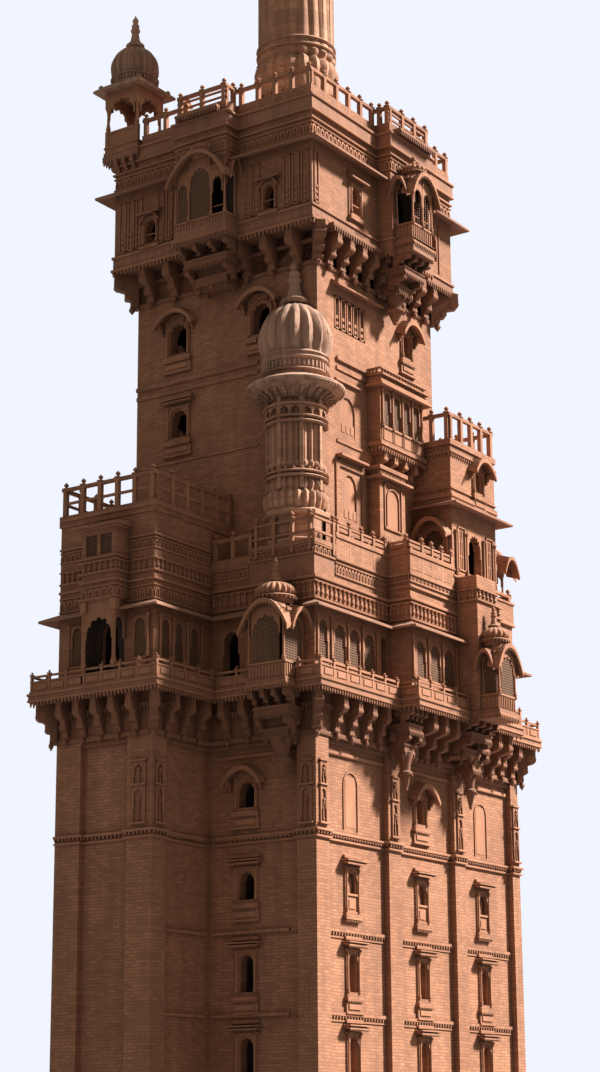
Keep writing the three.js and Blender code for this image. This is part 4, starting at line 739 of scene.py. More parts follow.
# The corner turret
def turret_shaft():
    foot = turned([(0, 24.05), (1.3, 24.05), (1.3, 24.25), (1.2, 24.32), (1.2, 25.1), (1.34, 25.24),
                   (1.34, 25.4), (1.22, 25.5), (0, 25.5)], 8)
    foot.matrix_world = Matrix.Rotation(math.radians(22.5), 4, "Z")
    profile = [(0, 25.45), (1.1, 25.45), (1.24, 25.6), (1.3, 25.85), (1.27, 26.1), (1.12, 26.25), (1.14, 26.3),
               (1.2, 26.5), (1.12, 26.68), (1.12, 27.1), (1.18, 27.15), (1.2, 27.3), (1.1, 27.42),
               (1.12, 27.5), (1.12, 28.9), (1.16, 29.05), (1.12, 29.25), (1.1, 29.3), (1.1, 29.6),
               (1.05, 29.85), (0.98, 29.98), (0, 29.98)]
    ribs = grooved(turned(profile, 96), 24, 0.1, 25.5, 29.9)
    rings = [turned([(0.9, z), (1.24, z), (1.29, z + 0.05), (1.24, z + 0.1), (0.9, z + 0.1)], 32)
             for z in (26.72, 26.9, 28.92, 29.12, 29.62)]
    pilaster = ring_of(box(-0.09, 0.09, -0.06, 0.1, 26.25, 29.98, 0.015), 8, 1.13, 0)
    arch = cusped_arch(0.24, 29.14, 29.6, 0.04, 0.0, 0.06, 3)
    arches = ring_of(arch, 16, 1.16, 0, math.radians(11.25))
    bead = ring_of(moved(bud(0.07, 0.16, 6), 0, 0, 27.12), 24, 1.18, 0)
    column_parts = join([foot, ribs, pilaster, arches, bead] + rings)
    piece = outside_shaft(moved(column_parts, *TURRET))
    finish(piece, "turret_ribbed_shaft", COLUMN, 35, ("turret_shaft",))


def turret_dome():
    canopy = turned([(0, 29.95), (1.08, 29.95), (1.12, 30.02), (1.3, 30.2), (1.45, 30.28), (1.88, 30.4),
                     (1.95, 30.44), (1.96, 30.54), (1.88, 30.6), (1.5, 30.78), (1.3, 30.84), (1.24, 30.92),
                     (1.24, 31.0), (0, 31.0)], 48)
    collar = turned([(0, 31.0), (1.3, 31.0), (1.38, 31.06), (1.3, 31.12), (1.27, 31.16), (1.27, 31.44),
                     (1.34, 31.5), (1.38, 31.56), (1.3, 31.64), (1.3, 31.7), (1.36, 31.76), (1.28, 31.86),
                     (0, 31.86)], 48)
    reeds = ring_of(box(-0.05, 0.05, -0.045, 0.04, 31.17, 31.43, 0.015), 44, 1.28, 0)
    modillion = bracket(0.42, 0.34, 0.13)
    modillions = ring_of(modillion, 24, 1.08, 30.32)
    drops = ring_of(tooth(0.09, 0.07, 0.09), 64, 1.86, 30.44)
    dome = moved(lobed_dome(1.48, 2.36, 16, 1.98, 0.12), 0, 0, 31.86)
    leaf = turned([(0, 0), (0.09, 0.02), (0.13, 0.2), (0.09, 0.42), (0, 0.6)], 8)
    leaf.matrix_world = Matrix.Translation((0, 0, 32.5)) @ Matrix.Rotation(math.radians(-4), 4, "X")
    leaves = ring_of(leaf, 16, 1.37, 0, math.radians(11.25))
    piece = outside_shaft(moved(join([canopy, collar, reeds, modillions, drops, dome, leaves]), *TURRET))
    finish(piece, "turret_ribbed_dome", DOME, 40, ("turret_dome",))


# The roof minaret
def minaret():
    r = 1.675
    base = [(0, 42.5), (r + 0.42, 42.5), (r + 0.42, 43.25), (r + 0.32, 43.35), (r + 0.3, 43.5), (r + 0.42, 43.75),
            (r + 0.44, 44.05), (r + 0.3, 44.4), (r + 0.08, 44.55), (r + 0.04, 45.7), (r + 0.1, 45.8),
            (r + 0.1, 46.4), (r + 0.02, 46.55), (0, 46.55)]
    bulge = [(0, 46.5), (r, 46.5), (r + 0.14, 46.7), (r + 0.2, 47.0), (r + 0.12, 47.35), (r - 0.02, 47.5),
             (r + 0.05, 47.58), (r + 0.1, 47.75), (r - 0.02, 47.9), (0, 47.9)]
    stem = [(0, 47.88), (r, 47.88), (r, 51.7), (r - 0.06, 52.0), (0, 52.0)]
    foot = grooved(turned(base, 80), 20, 0.05, 43.3, 46.5)
    lobes = grooved(turned(bulge, 80), 20, 0.09, 46.52, 47.89)
    ribs = grooved(turned(stem, 80), 20, 0.12, 47.89, 51.99)
    bands = [turned([(r - 0.3, z), (r + 0.03, z), (r + 0.08, z + 0.07), (r + 0.03, z + 0.14), (r - 0.3, z + 0.14)], 60)
             for z in (46.42, 47.92, 48.24, 51.5)]
    thin = ring_of(box(-0.045, 0.045, -0.05, 0.1, 48.3, 51.9, 0.012), 20, r - 0.05, 0, math.radians(9))
    niches = ring_of(niche_panel(0.34, 44.75, 45.75), 20, r + 0.06, 0, math.radians(9))
    piece = moved(join([foot, lobes, ribs, thin, niches] + bands), *MINARET)
    finish(piece, "minaret_ribbed_shaft", COLUMN, 35, ("minaret_shaft",))

    canopy = turned([(0, 52.0), (r - 0.06, 52.0), (r + 0.1, 52.15), (r + 0.25, 52.35), (r + 0.88, 52.58),
                     (r + 0.96, 52.64), (r + 0.96, 52.78), (r + 0.4, 53.05), (r + 0.06, 53.2), (r + 0.06, 53.4),
                     (r + 0.16, 53.5), (r + 0.16, 53.8), (r, 53.95), (r, 54.1), (0, 54.1)], 60)
    modillions = ring_of(bracket(0.75, 0.5, 0.16), 24, r - 0.08, 52.5)
    drops = ring_of(tooth(0.12, 0.08, 0.12), 72, r + 0.86, 52.62)
    reeds = ring_of(box(-0.07, 0.07, -0.05, 0.04, 53.52, 53.78, 0.015), 48, r + 0.16, 0)
    dome = moved(lobed_dome(r + 0.15, 2.92, 20, 2.1, 0.09), 0, 0, 54.08)
    piece = moved(join([canopy, modillions, drops, reeds, dome]), *MINARET)
    finish(piece, "minaret_ribbed_dome", DOME, 40, ("minaret_dome",))


# The corner chhatri
def chhatri():
    half, base, eave = 0.88, 0.92, 0.38
    parts = [
        box(-base, base, -base, base, 42.6, 42.75, 0.02), box(-base + 0.05, base - 0.05, -base + 0.05, base - 0.05, 42.75, 42.92),
        box(-base, base, -base, base, 42.92, 43.02, 0.02),
    ]
    for x in (-half + 0.1, half - 0.1):
        for y in (-half + 0.1, half - 0.1):
            parts.append(box(x - 0.1, x + 0.1, y - 0.1, y + 0.1, 43.0, 43.75, 0.015))
            parts.append(moved(column(0.075, 1.1), x, y, 43.72))
            parts.append(box(x - 0.11, x + 0.11, y - 0.11, y + 0.11, 44.8, 45.52, 0.02))
    arch = cusped_arch(half - 0.16, 44.3, 45.24, 0.05, 0.0, 0.12)
    lintel = box(-half, half, 0, 0.16, 45.24, 45.52)
    side = join([arch, lintel])
    places = [Matrix.Rotation(math.radians(turn), 4, "Z") @ Matrix.Translation((0, -half, 0)) for turn in (0, 90, 180, 270)]
    parts.append(copies(side, places))
    panel = join([box(-half + 0.15, half - 0.15, 0.03, 0.12, 43.0, 43.62), box(-half + 0.15, half - 0.15, 0, 0.15, 43.6, 43.7)])
    panel.matrix_world = places[3] @ Matrix.Identity(4)
    parts.append(panel)
    piece = moved(join(parts), *CHHATRI)
    finish(piece, "chhatri_arcade", CARVED, 30, ("chhatri_arches",))

    deselect()
    bpy.ops.mesh.primitive_cube_add(size=1, location=(0, 0, 45.56), scale=(2 * (half + eave), 2 * (half + eave), 0.1))
    roof = bpy.context.object
    bpy.ops.object.transform_apply(location=True, rotation=True, scale=True)
    edit()
    mesh = bmesh.from_edit_mesh(roof.data)
    for face in mesh.faces:
        face.select_set(face.normal.z > 0.9)
    bmesh.update_edit_mesh(roof.data)
    push((0, 0, 0.28))
    shrink = (half + 0.06) / (half + eave)
    bpy.ops.transform.resize(value=(shrink, shrink, 1))
    done()
    knobs = copies(moved(knob(0.11, 0.3), 0, 0, 45.66),
                   [Matrix.Translation((x, y, 0)) for x in (-1.02, 1.02) for y in (-1.02, 1.02)])
    drum = turned([(0, 45.8), (1.0, 45.8), (1.05, 45.88), (0.98, 45.96), (0.96, 46.0), (0.96, 46.16),
                   (1.05, 46.22), (1.0, 46.3), (0, 46.3)], 40)
    reeds = ring_of(box(-0.045, 0.045, -0.04, 0.03, 45.97, 46.18, 0.012), 40, 0.98, 0)
    dome = moved(lobed_dome(1.05, 1.6, 20, 1.6, 0.1), 0, 0, 46.28)
    piece = moved(join([roof, knobs, drum, reeds, dome]), *CHHATRI)
    finish(piece, "chhatri_ribbed_dome", DOME, 40, ("chhatri_dome",))


turret_shaft()
turret_dome()
minaret()
chhatri()


# Fringes, brackets and hanging corbels
def fringe(places, width=0.085, depth=0.07, height=0.17):
    return copies(tooth(width, depth, height), places)


def fringe_run(path, out, z, pitch=0.17, closed=False, height=0.17):
    """Drops under an edge that follows a plan path at a distance."""
    line = offset(path, out, closed)
    if closed:
        line = line + line[:1]
    return fringe(along(line, pitch, 0.05, 0.0, z), 0.5 * pitch, 0.07, height)


def tier(half, reach, height, z):
    """A moulded block of a hanging corbel, its top at z, with a fringe round its foot."""
    parts = [
        box(-half, half, -reach, 0.2, z - 0.3 * height, z, 0.015),
        box(-half + 0.04, half - 0.04, -reach + 0.04, 0.2, z - 0.72 * height, z - 0.3 * height),
        box(-half + 0.01, half - 0.01, -reach + 0.01, 0.2, z - height, z - 0.72 * height, 0.015),
    ]
    path = [(-half + 0.04, 0), (-half + 0.04, -reach + 0.05), (half - 0.04, -reach + 0.05), (half - 0.04, 0)]
    parts.append(fringe(along(path, 0.14, 0.05, 0.0, z - height), 0.075, 0.06, 0.13))
    return parts


def arms(half, reach, inner, z, height, middle=1):
    """Brackets that carry a block of half width and reach from a core; middle ones between the corners."""
    span = max(0.25, reach - inner)
    arm = bracket(span, height, 0.17)
    places = []
    count = middle + 2
    for i in range(count):
        x = -half + 0.14 + (2 * half - 0.28) * i / (count - 1)
        places.append(Matrix.Translation((x, -inner, z)))
    for side, turn in ((-1, -90), (1, 90)):
        yaw = Matrix.Rotation(math.radians(turn), 4, "Z")
        places.append(Matrix.Translation((side * max(0.1, half - span), -inner * 0.8, z)) @ yaw)
    return copies(arm, places)


def pendant(half, reach, height, stem=0.3):
    """A hanging corbel under a balcony: arms, a block, arms, a smaller block, then a turned pendant."""
    h = height
    core = [box(-0.55 * half, 0.55 * half, -0.5 * reach, 0.2, -0.55 * h, 0)]
    first = tier(0.82 * half, 0.84 * reach, 0.11 * h, -0.19 * h)
    second = tier(0.6 * half, 0.6 * reach, 0.12 * h, -0.42 * h)
    upper_arms = arms(0.95 * half, 0.98 * reach, 0.55 * reach, 0.0, 0.2 * h, 2)
    lower_arms = arms(0.8 * half, 0.8 * reach, 0.36 * reach, -0.3 * h, 0.2 * h, 0)
    parts = core + first + second + [upper_arms, lower_arms]
    if stem:
        r = min(0.42 * half, 0.4 * reach)
        turned_part = turned([
            (0, -0.52 * h), (1.15 * r, -0.52 * h), (1.0 * r, -0.58 * h), (0.7 * r, -0.68 * h), (0.68 * r, -0.74 * h),
            (0.98 * r, -0.76 * h), (1.0 * r, -0.79 * h), (0.72 * r, -0.81 * h), (0.36 * r, -0.93 * h),
            (0.26 * r, -0.95 * h), (0.3 * r, -0.97 * h), (0, -h),
        ], 16)
        petals = ring_of(tooth(0.09, 0.06, 0.1), 12, 0.92 * r, -0.785 * h)
        parts.append(moved(join([turned_part, petals]), 0, -stem * reach, 0))
    buds = [Matrix.Translation((x, -y, -0.53 * h)) for x in (-0.5 * half, 0.5 * half) for y in (0.18 * reach, 0.5 * reach)]
    buds.append(Matrix.Translation((0, -0.55 * reach, -0.53 * h)))
    parts.append(copies(bud(0.1, 0.3), buds))
    return join(parts)


def hang(face, u, half, reach, top, height, stem=0.3):
    piece = pendant(half, reach, height, stem)
    piece.matrix_world = face.spot(u, top) @ piece.matrix_world
    return piece


BALCONY_RUNS = (
    ("front", BODY["y0"], 0.7, 4.7, 0.6, 0.95),
    ("front", BODY["y0"], 13.2, 15.0, 0.6, 0.8), ("front", BODY["y0"], 6.0, 8.6, 1.34, 0.9),
    ("front", BODY["y0"], 11.1, 12.8, 1.34, 0.8), ("west", BODY["x0"], 2.5, 4.4, 0.6, 0.95),
    ("front", WING["y0"], -3.3, -0.4, 0.6, 0.95), ("west", WING["x0"], 5.1, 9.3, 0.6, 0.85),
    ("back", WING["y1"], -3.5, -0.5, 0.6, 1.0), ("back", BODY["y1"], 0.1, 15.1, 0.6, 1.2),
    ("east", BODY["x1"], 0.1, 10.3, 0.6, 1.2),
)


def balcony_brackets():
    rows = []
    for side, at, u0, u1, reach, pitch in BALCONY_RUNS:
        face = Face(side, at)
        rows.append(copies(bracket(reach, 1.55 if reach < 1 else 1.7, 0.26), face.row(u0, u1, pitch, SLAB)))
    corners = [(BODY["x0"], BODY["y0"], -45), (BODY["x1"], BODY["y0"], 45), (WING["x0"], WING["y0"], -45),
               (WING["x0"], WING["y1"], -135), (BODY["x0"], BODY["y1"], -135), (BODY["x1"], BODY["y1"], 135)]
    corner_arm = bracket(0.82, 1.6, 0.28)
    places = [Matrix.Translation((x, y, SLAB)) @ Matrix.Rotation(math.radians(turn), 4, "Z") for x, y, turn in corners]
    rows.append(copies(corner_arm, places))
    wall = [(BODY["x0"], BODY["y0"]), (BODY["x1"], BODY["y0"]), (BODY["x1"], BODY["y1"]), (BODY["x0"], BODY["y1"]),
            (BODY["x0"], WING["y1"]), (WING["x0"], WING["y1"]), (WING["x0"], WING["y0"]), (BODY["x0"], WING["y0"])]
    rows.append(band(wall, -0.5, 0.0, BED, SLAB, True))
    rows.append(band(wall, -0.3, 0.07, BED - 0.02, BED + 0.16, True, 0.02))
    rows.append(band(wall, -0.3, 0.12, 17.62, 17.78, True, 0.02))
    rows.append(band(wall, -0.3, -0.1, BED - 0.22, BED - 0.01, True, 0.03))
    rows.append(fringe_run(wall, 0.1, 17.62, 0.17, True))
    front, west = Face("front", BODY["y0"]), Face("west", BODY["x0"])
    rows.append(hang(west, 1.255, 0.95, 1.35, SLAB, 3.3))
    rows.append(hang(front, 5.37, 0.66, 1.3, SLAB, 3.2, 0.42))
    rows.append(hang(front, 9.43, 1.0, 2.0, SLAB, 2.4, 0.0))
    rows.append(hang(front, 10.32, 0.6, 1.5, SLAB, 3.3, 0.36))
    # The brackets get the stone darkened as painted shade.
    finish(join(rows), "balcony_carved_brackets", BRACKET_SHADE_STONE, 35, ("balcony_brackets",))


FRONT_EDGE = [(-0.8, 0.38), (-0.8, -0.8), (4.7, -0.8), (4.7, -1.65), (8.65, -1.65)]
REAR_EDGE = [(10.2, -1.65), (12.9, -1.65), (12.9, -0.8), (16, -0.8), (16, 11.2), (-0.8, 11.2), (-0.8, 10.2),
             (-4.36, 10.2), (-4.36, 4.02), (-0.8, 4.02), (-0.8, 2.13)]


def balcony_fringe():
    runs = []
    for edge in (FRONT_EDGE, REAR_EDGE):
        runs.append(fringe_run(edge, -0.075, SLAB, 0.17, False, 0.18))
    for edge in (FRONT_EDGE, REAR_EDGE[:4], REAR_EDGE[6:]):
        runs.append(band(edge, -0.1, 0.03, SLAB - 0.01, SLAB + 0.07, False, 0.015))
        runs.append(band(edge, -0.1, 0.05, BALCONY - 0.11, BALCONY - 0.01, False, 0.02))
    finish(join(runs), "balcony_fringe", CARVED)


UPPER_RUNS = (
    ("front", SHAFT["y0"], 1.6, 9.9, 0.92), ("west", SHAFT["x0"], 0.9, 9.5, 1.23),
    ("back", SHAFT["y1"], 1.6, 9.9, 1.0), ("east", SHAFT["x1"], 0.9, 9.5, 1.23),
)


def upper_brackets():
    top_wall = {"front": TOP["y0"], "west": TOP["x0"], "back": TOP["y1"], "east": TOP["x1"]}
    rows = []
    for side, at, u0, u1, pitch in UPPER_RUNS:
        reach = max(abs(at - top_wall[side]) - 0.06, 0.7)
        rows.append(copies(bracket(reach, 1.5, 0.3), Face(side, at).row(u0, u1, pitch, TOP_SOFFIT)))
    corners = [("x0", "y0", -45), ("x1", "y0", 45), ("x0", "y1", -135), ("x1", "y1", 135)]
    for x, y, turn in corners:
        reach = math.hypot(TOP[x] - SHAFT[x], TOP[y] - SHAFT[y]) - 0.05
        arm = bracket(reach, 1.5, 0.36)
        arm.matrix_world = (Matrix.Translation((SHAFT[x], SHAFT[y], TOP_SOFFIT))
                            @ Matrix.Rotation(math.radians(turn), 4, "Z"))
        rows.append(arm)
    wall = [(SHAFT["x0"], SHAFT["y0"]), (SHAFT["x1"], SHAFT["y0"]), (SHAFT["x1"], SHAFT["y1"]), (SHAFT["x0"], SHAFT["y1"])]
    rows.append(band(wall, -0.4, 0.0, 35.8, TOP_SOFFIT, True))
    rows.append(band(wall, -0.3, 0.08, 35.78, 35.95, True, 0.02))
    for u0, u1 in ((1.5, 5.1), (8.7, 11.2)):
        rows.append(box(u0, u1, TOP["y0"] - 0.36, TOP["y0"] + 0.1, TOP_SOFFIT - 0.02, TOP_SOFFIT + 0.15, 0.02))
        edge = [(u0, TOP["y0"]), (u0, TOP["y0"] - 0.36), (u1, TOP["y0"] - 0.36), (u1, TOP["y0"])]
        rows.append(fringe_run(edge, -0.05, TOP_SOFFIT - 0.01, 0.17, False, 0.2))
    rows.append(band(wall, -0.3, 0.14, 36.7, 36.86, True, 0.02))
    front, west = Face("front", SHAFT["y0"]), Face("west", SHAFT["x0"])
    rows.append(hang(front, 6.35, 0.95, 1.85, TOP_SOFFIT, 2.75))
    rows.append(hang(west, 5.23, 1.35, 1.65, TOP_SOFFIT, 3.1, 0.0))
    # The brackets get the stone darkened as painted shade.
    finish(join(rows), "upper_carved_brackets", BRACKET_SHADE_STONE, 35, ("upper_brackets",))


balcony_brackets()
balcony_fringe()
upper_brackets()


# Balcony windows with bowed hoods and half domes
def bow(half, tip, rise, x):
    """Height of a hood's underside at x."""
    return tip + rise * (1 - min(1.0, abs(x) / half) ** 2.2)


def tympanum(width, half, tip, rise, z0, thick=0.08):
    xs = [width * (i / 6 - 1) for i in range(13)]
    outline = [(x, 0, max(bow(half, tip, rise, x), z0) + 0.03) for x in xs]
    return plate([(-width, 0, z0)] + outline + [(width, 0, z0)], (0, thick, 0))


def jharokha(width, reach, heights, lights, hood_size, spandrel, bars=False):
    """A balcony window that faces -Y with its back at y = 0, in the middle of x = 0."""
    floor, sill, head, top = heights
    half, tip, rise, hood_reach = hood_size
    w, wall = width / 2, 0.1
    inner = reach - 0.12
    parts = [box(-w - 0.07, w + 0.07, -reach - 0.07, 0, floor - 0.16, floor, 0.02),
             box(-w - 0.12, w + 0.12, -reach - 0.12, 0, floor - 0.26, floor - 0.14, 0.02)]
    rim = [(-w - 0.08, 0), (-w - 0.08, -reach - 0.08), (w + 0.08, -reach - 0.08), (w + 0.08, 0)]
    parts.append(fringe(along(rim, 0.13, 0.05, 0.0, floor - 0.25), 0.07, 0.06, 0.14))
    for z0, z1, proud in ((floor, sill, 0.0), (sill - 0.05, sill + 0.03, 0.05), (head, top, 0.0),
                          (top - 0.02, top + 0.1, 0.06)):
        if z1 <= top:
            parts.append(box(-w - proud, w + proud, -reach - proud, -reach + wall, z0, z1))
        parts.append(box(-w - proud, -w + wall, -reach + wall, 0, z0, z1))
        parts.append(box(w - wall, w + proud, -reach + wall, 0, z0, z1))
    parts.append(box(-w, w, -reach, 0, top, top + 0.08))
    skirt = [(-w, 0), (-w, -reach), (w, -reach), (w, 0)]
    reed = box(-0.035, 0.035, -0.035, 0.02, floor + 0.08, sill - 0.08, 0.012)
    parts.append(copies(reed, along(skirt, 0.15, 0.1)))
    bud_row = moved(bud(0.035, 0.1, 6), 0, 0, head + 0.02)
    parts.append(copies(bud_row, along(skirt, 0.16, 0.1, 0.02)))
    shaft = column(0.055, head - sill + 0.02)
    ends = [(-w + 0.04, -reach - 0.02), (w - 0.04, -reach - 0.02), (-w + 0.07, -0.09), (w - 0.07, -0.09)]
    between = [((a[1] + b[0]) / 2, -reach - 0.04) for a, b in zip(lights, lights[1:])]
    parts.append(copies(shaft, [Matrix.Translation((x, y, sill)) for x, y in ends + between]))
    for left, right in lights:
        under_hood = bow(half, tip, rise, max(abs(left), abs(right)))
        crown = under_hood - spandrel
        arch = cusped_arch((right - left) / 2 + 0.04, sill + 0.55 * (crown - sill), crown, 0.05, 0.0, 0.07)
        parts.append(moved(arch, (left + right) / 2, -reach - 0.05, 0))
        parts.append(box(left - 0.045, right + 0.045, -reach - 0.06, -reach, crown - 0.01, under_hood))
        if bars:
            parts.append(box(left - 0.05, right + 0.05, -reach + 0.04, -reach + 0.07, sill + 0.36, sill + 0.4))
    for side, turn in ((-1, -90), (1, 90)):
        arch = cusped_arch(inner / 2 - 0.02, sill + 0.6 * (head - sill), head + 0.01, 0.045, 0.0, 0.07)
        arch.matrix_world = (Matrix.Translation((side * (w - 0.02), -reach / 2, 0))
                             @ Matrix.Rotation(math.radians(turn), 4, "Z"))
        parts.append(arch)
    parts.append(moved(tympanum(w, half, tip, rise, top), 0, -reach - 0.02, 0))
    parts.append(moved(tympanum(w - 0.03, half, tip, rise, top, reach - 0.1), 0, 0.08 - reach, 0))
    parts.append(moved(hood(half, tip, rise, hood_reach - reach + 0.3), 0, 0.3 - reach, 0))
    for side, turn in ((-1, -90), (1, 90)):
        flank = hood(reach / 2 + 0.03, tip + 0.02, 0.72 * rise, half - w + 0.14)
        flank.matrix_world = (Matrix.Translation((side * (w - 0.12), 0.05 - reach / 2, 0))
                              @ Matrix.Rotation(math.radians(turn), 4, "Z"))
        parts.append(flank)
    places = []
    for i in range(-7, 8):
        x = half * 0.92 * i / 7
        places.append(Matrix.Translation((x, -hood_reach + 0.01, bow(half, tip, rise, x) - 0.2)))
    parts.append(copies(tooth(0.06, 0.04, 0.09), places))
    struts = [Matrix.Translation((x, -reach + 0.02, min(bow(half, tip, rise, x), top + 0.25))) for x in (-w + 0.06, w - 0.06)]
    parts.append(copies(bracket(max(0.15, hood_reach - reach - 0.02), 0.42, 0.08), struts))
    return join(parts)


def half_dome(radius, z0, z1, tip, out, ribs=16):
    drum = turned([(0, z0 - 0.3), (radius * 0.8, z0 - 0.3), (radius * 0.9, z0 - 0.1), (radius * 1.06, z0 - 0.05),
                   (radius * 1.0, z0), (0, z0)], 32)
    petals = ring_of(tooth(0.11, 0.05, 0.12), 28, radius * 0.98, z0 - 0.04)
    dome = moved(lobed_dome(radius, z1 - z0, ribs, tip - z1, 0.11), 0, 0, z0)
    return moved(join([drum, petals, dome]), 0, -out, 0)


def seat(piece, face, u):
    piece.matrix_world = face.spot(u) @ piece.matrix_world
    return piece


def lattice(face, u0, u1, z0, z1, out, cell=0.1):
    piece = screen((u1 - u0) / 2, z0, z1, cell)
    piece.matrix_world = face.spot((u0 + u1) / 2, 0, out) @ piece.matrix_world
    return piece


def main_jharokhas():
    west, front = Face("west", BODY["x0"]), Face("front", STEP["y"])
    body = jharokha(1.65, 1.35, (18.53, 19.15, 20.95, 21.08), [(-0.6, 0.6)], (1.13, 20.43, 1.15, 1.6), 0.25)
    dome = half_dome(0.8, 21.74, 22.36, 23.35, 0.75, 20)
    finish(seat(join([body, dome]), west, 1.255), "west_balcony_window", CARVED, 35, ("west_jharokha",))
    net = [lattice(west, 0.68, 1.83, 19.15, 21.24, 1.35 + 0.025)]
    side = Face("front", 0.43 + 0.05)
    net.append(lattice(side, -1.25, -0.1, 19.15, 20.95, 0.0))
    finish(join(net), "west_balcony_lattice", SHADE_DARKENED_SCREEN)
    body = jharokha(1.35, 0.8, (18.53, 19.15, 20.7, 20.8), [(-0.5, 0.5)], (0.98, 20.22, 1.05, 1.0), 0.22)
    dome = half_dome(0.62, 21.47, 22.02, 22.95, 0.3)
    finish(seat(join([body, dome]), front, 9.425), "front_balcony_window", CARVED, 35, ("front_jharokha",))
    net = [lattice(front, 8.95, 9.9, 19.15, 20.98, 0.8 + 0.025)]
    net.append(lattice(Face("west", 8.75 + 0.05), STEP["y"] - 0.72, STEP["y"] - 0.08, 19.15, 20.9, 0.0))
    finish(join(net), "front_balcony_lattice", SHADE_DARKENED_SCREEN)


def upper_jharokhas():
    lights = [(-1.11, -0.63), (-0.49, 0.49), (0.63, 1.11)]
    body = jharokha(2.54, 0.78, (37.6, 38.2, 40.35, 40.58), lights, (1.48, 39.8, 1.3, 1.2), 0.5, True)
    dome = half_dome(0.66, 41.1, 41.6, 41.95, 0.5)
    finish(seat(join([body, dome]), Face("west", TOP["x0"]), 5.23), "upper_west_balcony_window", CARVED, 35,
           ("upper_west_jharokha",))
    net = [lattice(Face("west", TOP["x0"]), 5.23 + u0, 5.23 + u1, 38.2, z1, 0.78 + 0.025)
           for (u0, u1), z1 in zip(lights[1:], (40.95, 40.35))]
    net.append(lattice(Face("east", 7.04), -1.16, -0.49, 38.5, 40.4, 0.0))
    finish(join(net), "upper_balcony_lattice", SHADE_DARKENED_SCREEN)
    lights = [(-0.63, -0.07), (0.07, 0.63)]
    body = jharokha(1.55, 0.85, (37.86, 38.5, 40.42, 40.48), lights, (1.08, 39.75, 1.15, 1.11), 0.4, True)
    dome = half_dome(0.56, 41.0, 41.4, 41.85, 0.5)
    finish(seat(join([body, dome]), Face("front", TOP_SOUTH["y"]), 6.325), "upper_south_balcony_window", CARVED, 35,
           ("upper_south_jharokha",))


main_jharokhas()
upper_jharokhas()


# Window dressings
def window_trim(half, z0, z1, hooded=False):
    """Slender columns, a cusped head, an apron and a dentil row round a small window; its face is at y = 0."""
    parts = [cusped_arch(half, z0, z1, 0.05, 0.0, 0.09)]
    shaft = column(0.045, z1 - z0 + 0.06, 8)
    parts.append(copies(shaft, [Matrix.Translation((x, -0.08, z0 - 0.02)) for x in (-half - 0.06, half + 0.06)]))
    apron = [box(-half - 0.2, half + 0.2, -0.09, 0, z0 - 0.72, z0 - 0.36, 0.015),
             box(-half - 0.08, half + 0.08, -0.13, 0, z0 - 0.64, z0 - 0.44, 0.015),
             box(-half - 0.26, half + 0.26, -0.14, 0, z0 - 0.8, z0 - 0.72, 0.01)]
    parts += apron
    span = [(-half - 0.2, 0), (half + 0.2, 0)]
    parts.append(fringe(along(span, 0.11, 0.04, 0.12, z0 - 0.32), 0.06, 0.05, 0.07))
    parts.append(fringe(along(span, 0.11, 0.04, 0.02, z0 - 0.8), 0.06, 0.06, 0.08))
    if hooded:
        tip = z1 - 0.13
        parts.append(hood(half + 0.49, tip, 0.62, 0.44, 0.16, 0.13, 14))
        parts.append(moved(tympanum(half + 0.3, half + 0.49, tip, 0.62, z1 + 0.05, 0.06), 0, -0.06, 0))
        places = [Matrix.Translation((x, 0, z1 - 0.02)) for x in (-half - 0.3, half + 0.3)]
        parts.append(copies(bracket(0.36, 0.42, 0.08), places))
        inner = cusped_arch(half * 0.8, z1 + 0.08, z1 + 0.3, 0.03, 0.0, 0.05, 3)
        parts.append(moved(inner, 0, -0.1, 0))
    else:
        parts.append(box(-half - 0.38, half + 0.38, -0.37, 0, z1 + 0.31, z1 + 0.36, 0.01))
        parts.append(box(-half - 0.24, half + 0.24, -0.12, 0, z1 + 0.42, z1 + 0.56, 0.015))
        parts.append(fringe(along([(-half - 0.3, 0), (half + 0.3, 0)], 0.12, 0.04, 0.27, z1 + 0.2), 0.06, 0.05, 0.07))
        parts.append(box(-half - 0.22, half + 0.22, -0.1, 0, z1 + 0.04, z1 + 0.12, 0.01))
    return join(parts)


def blind_trim(half, z0, z1):
    """A cusped blind arch in a frame with a little panel below it; its face is at y = 0."""
    parts = [cusped_arch(half, z0 + 0.4 * (z1 - z0), z1, 0.06, 0.0, 0.1)]
    parts.append(box(-half, half, -0.02, 0.08, z0, z0 + 0.36 * (z1 - z0), 0.01))
    parts.append(box(-half * 0.6, half * 0.6, -0.05, 0, z0 + 0.08, z0 + 0.28 * (z1 - z0), 0.01))
    parts.append(box(-half - 0.02, half + 0.02, -0.07, 0.05, z0 + 0.37 * (z1 - z0), z0 + 0.43 * (z1 - z0), 0.01))
    shaft = column(0.045, z1 - z0 + 0.06, 8)
    parts.append(copies(shaft, [Matrix.Translation((x, -0.08, z0 - 0.02)) for x in (-half - 0.06, half + 0.06)]))
    parts.append(box(-half - 0.22, half + 0.22, -0.12, 0, z0 - 0.34, z0 - 0.28, 0.01))
    parts.append(box(-half - 0.38, half + 0.38, -0.37, 0, z1 + 0.31, z1 + 0.36, 0.01))
    parts.append(box(-half - 0.24, half + 0.24, -0.12, 0, z1 + 0.42, z1 + 0.54, 0.015))
    parts.append(fringe(along([(-half - 0.2, 0), (half + 0.2, 0)], 0.11, 0.04, 0.1, z0 - 0.34), 0.06, 0.05, 0.08))
    return join(parts)


def at(face, u, piece, out=0.0):
    piece.matrix_world = face.spot(u, 0, out) @ piece.matrix_world
    return piece


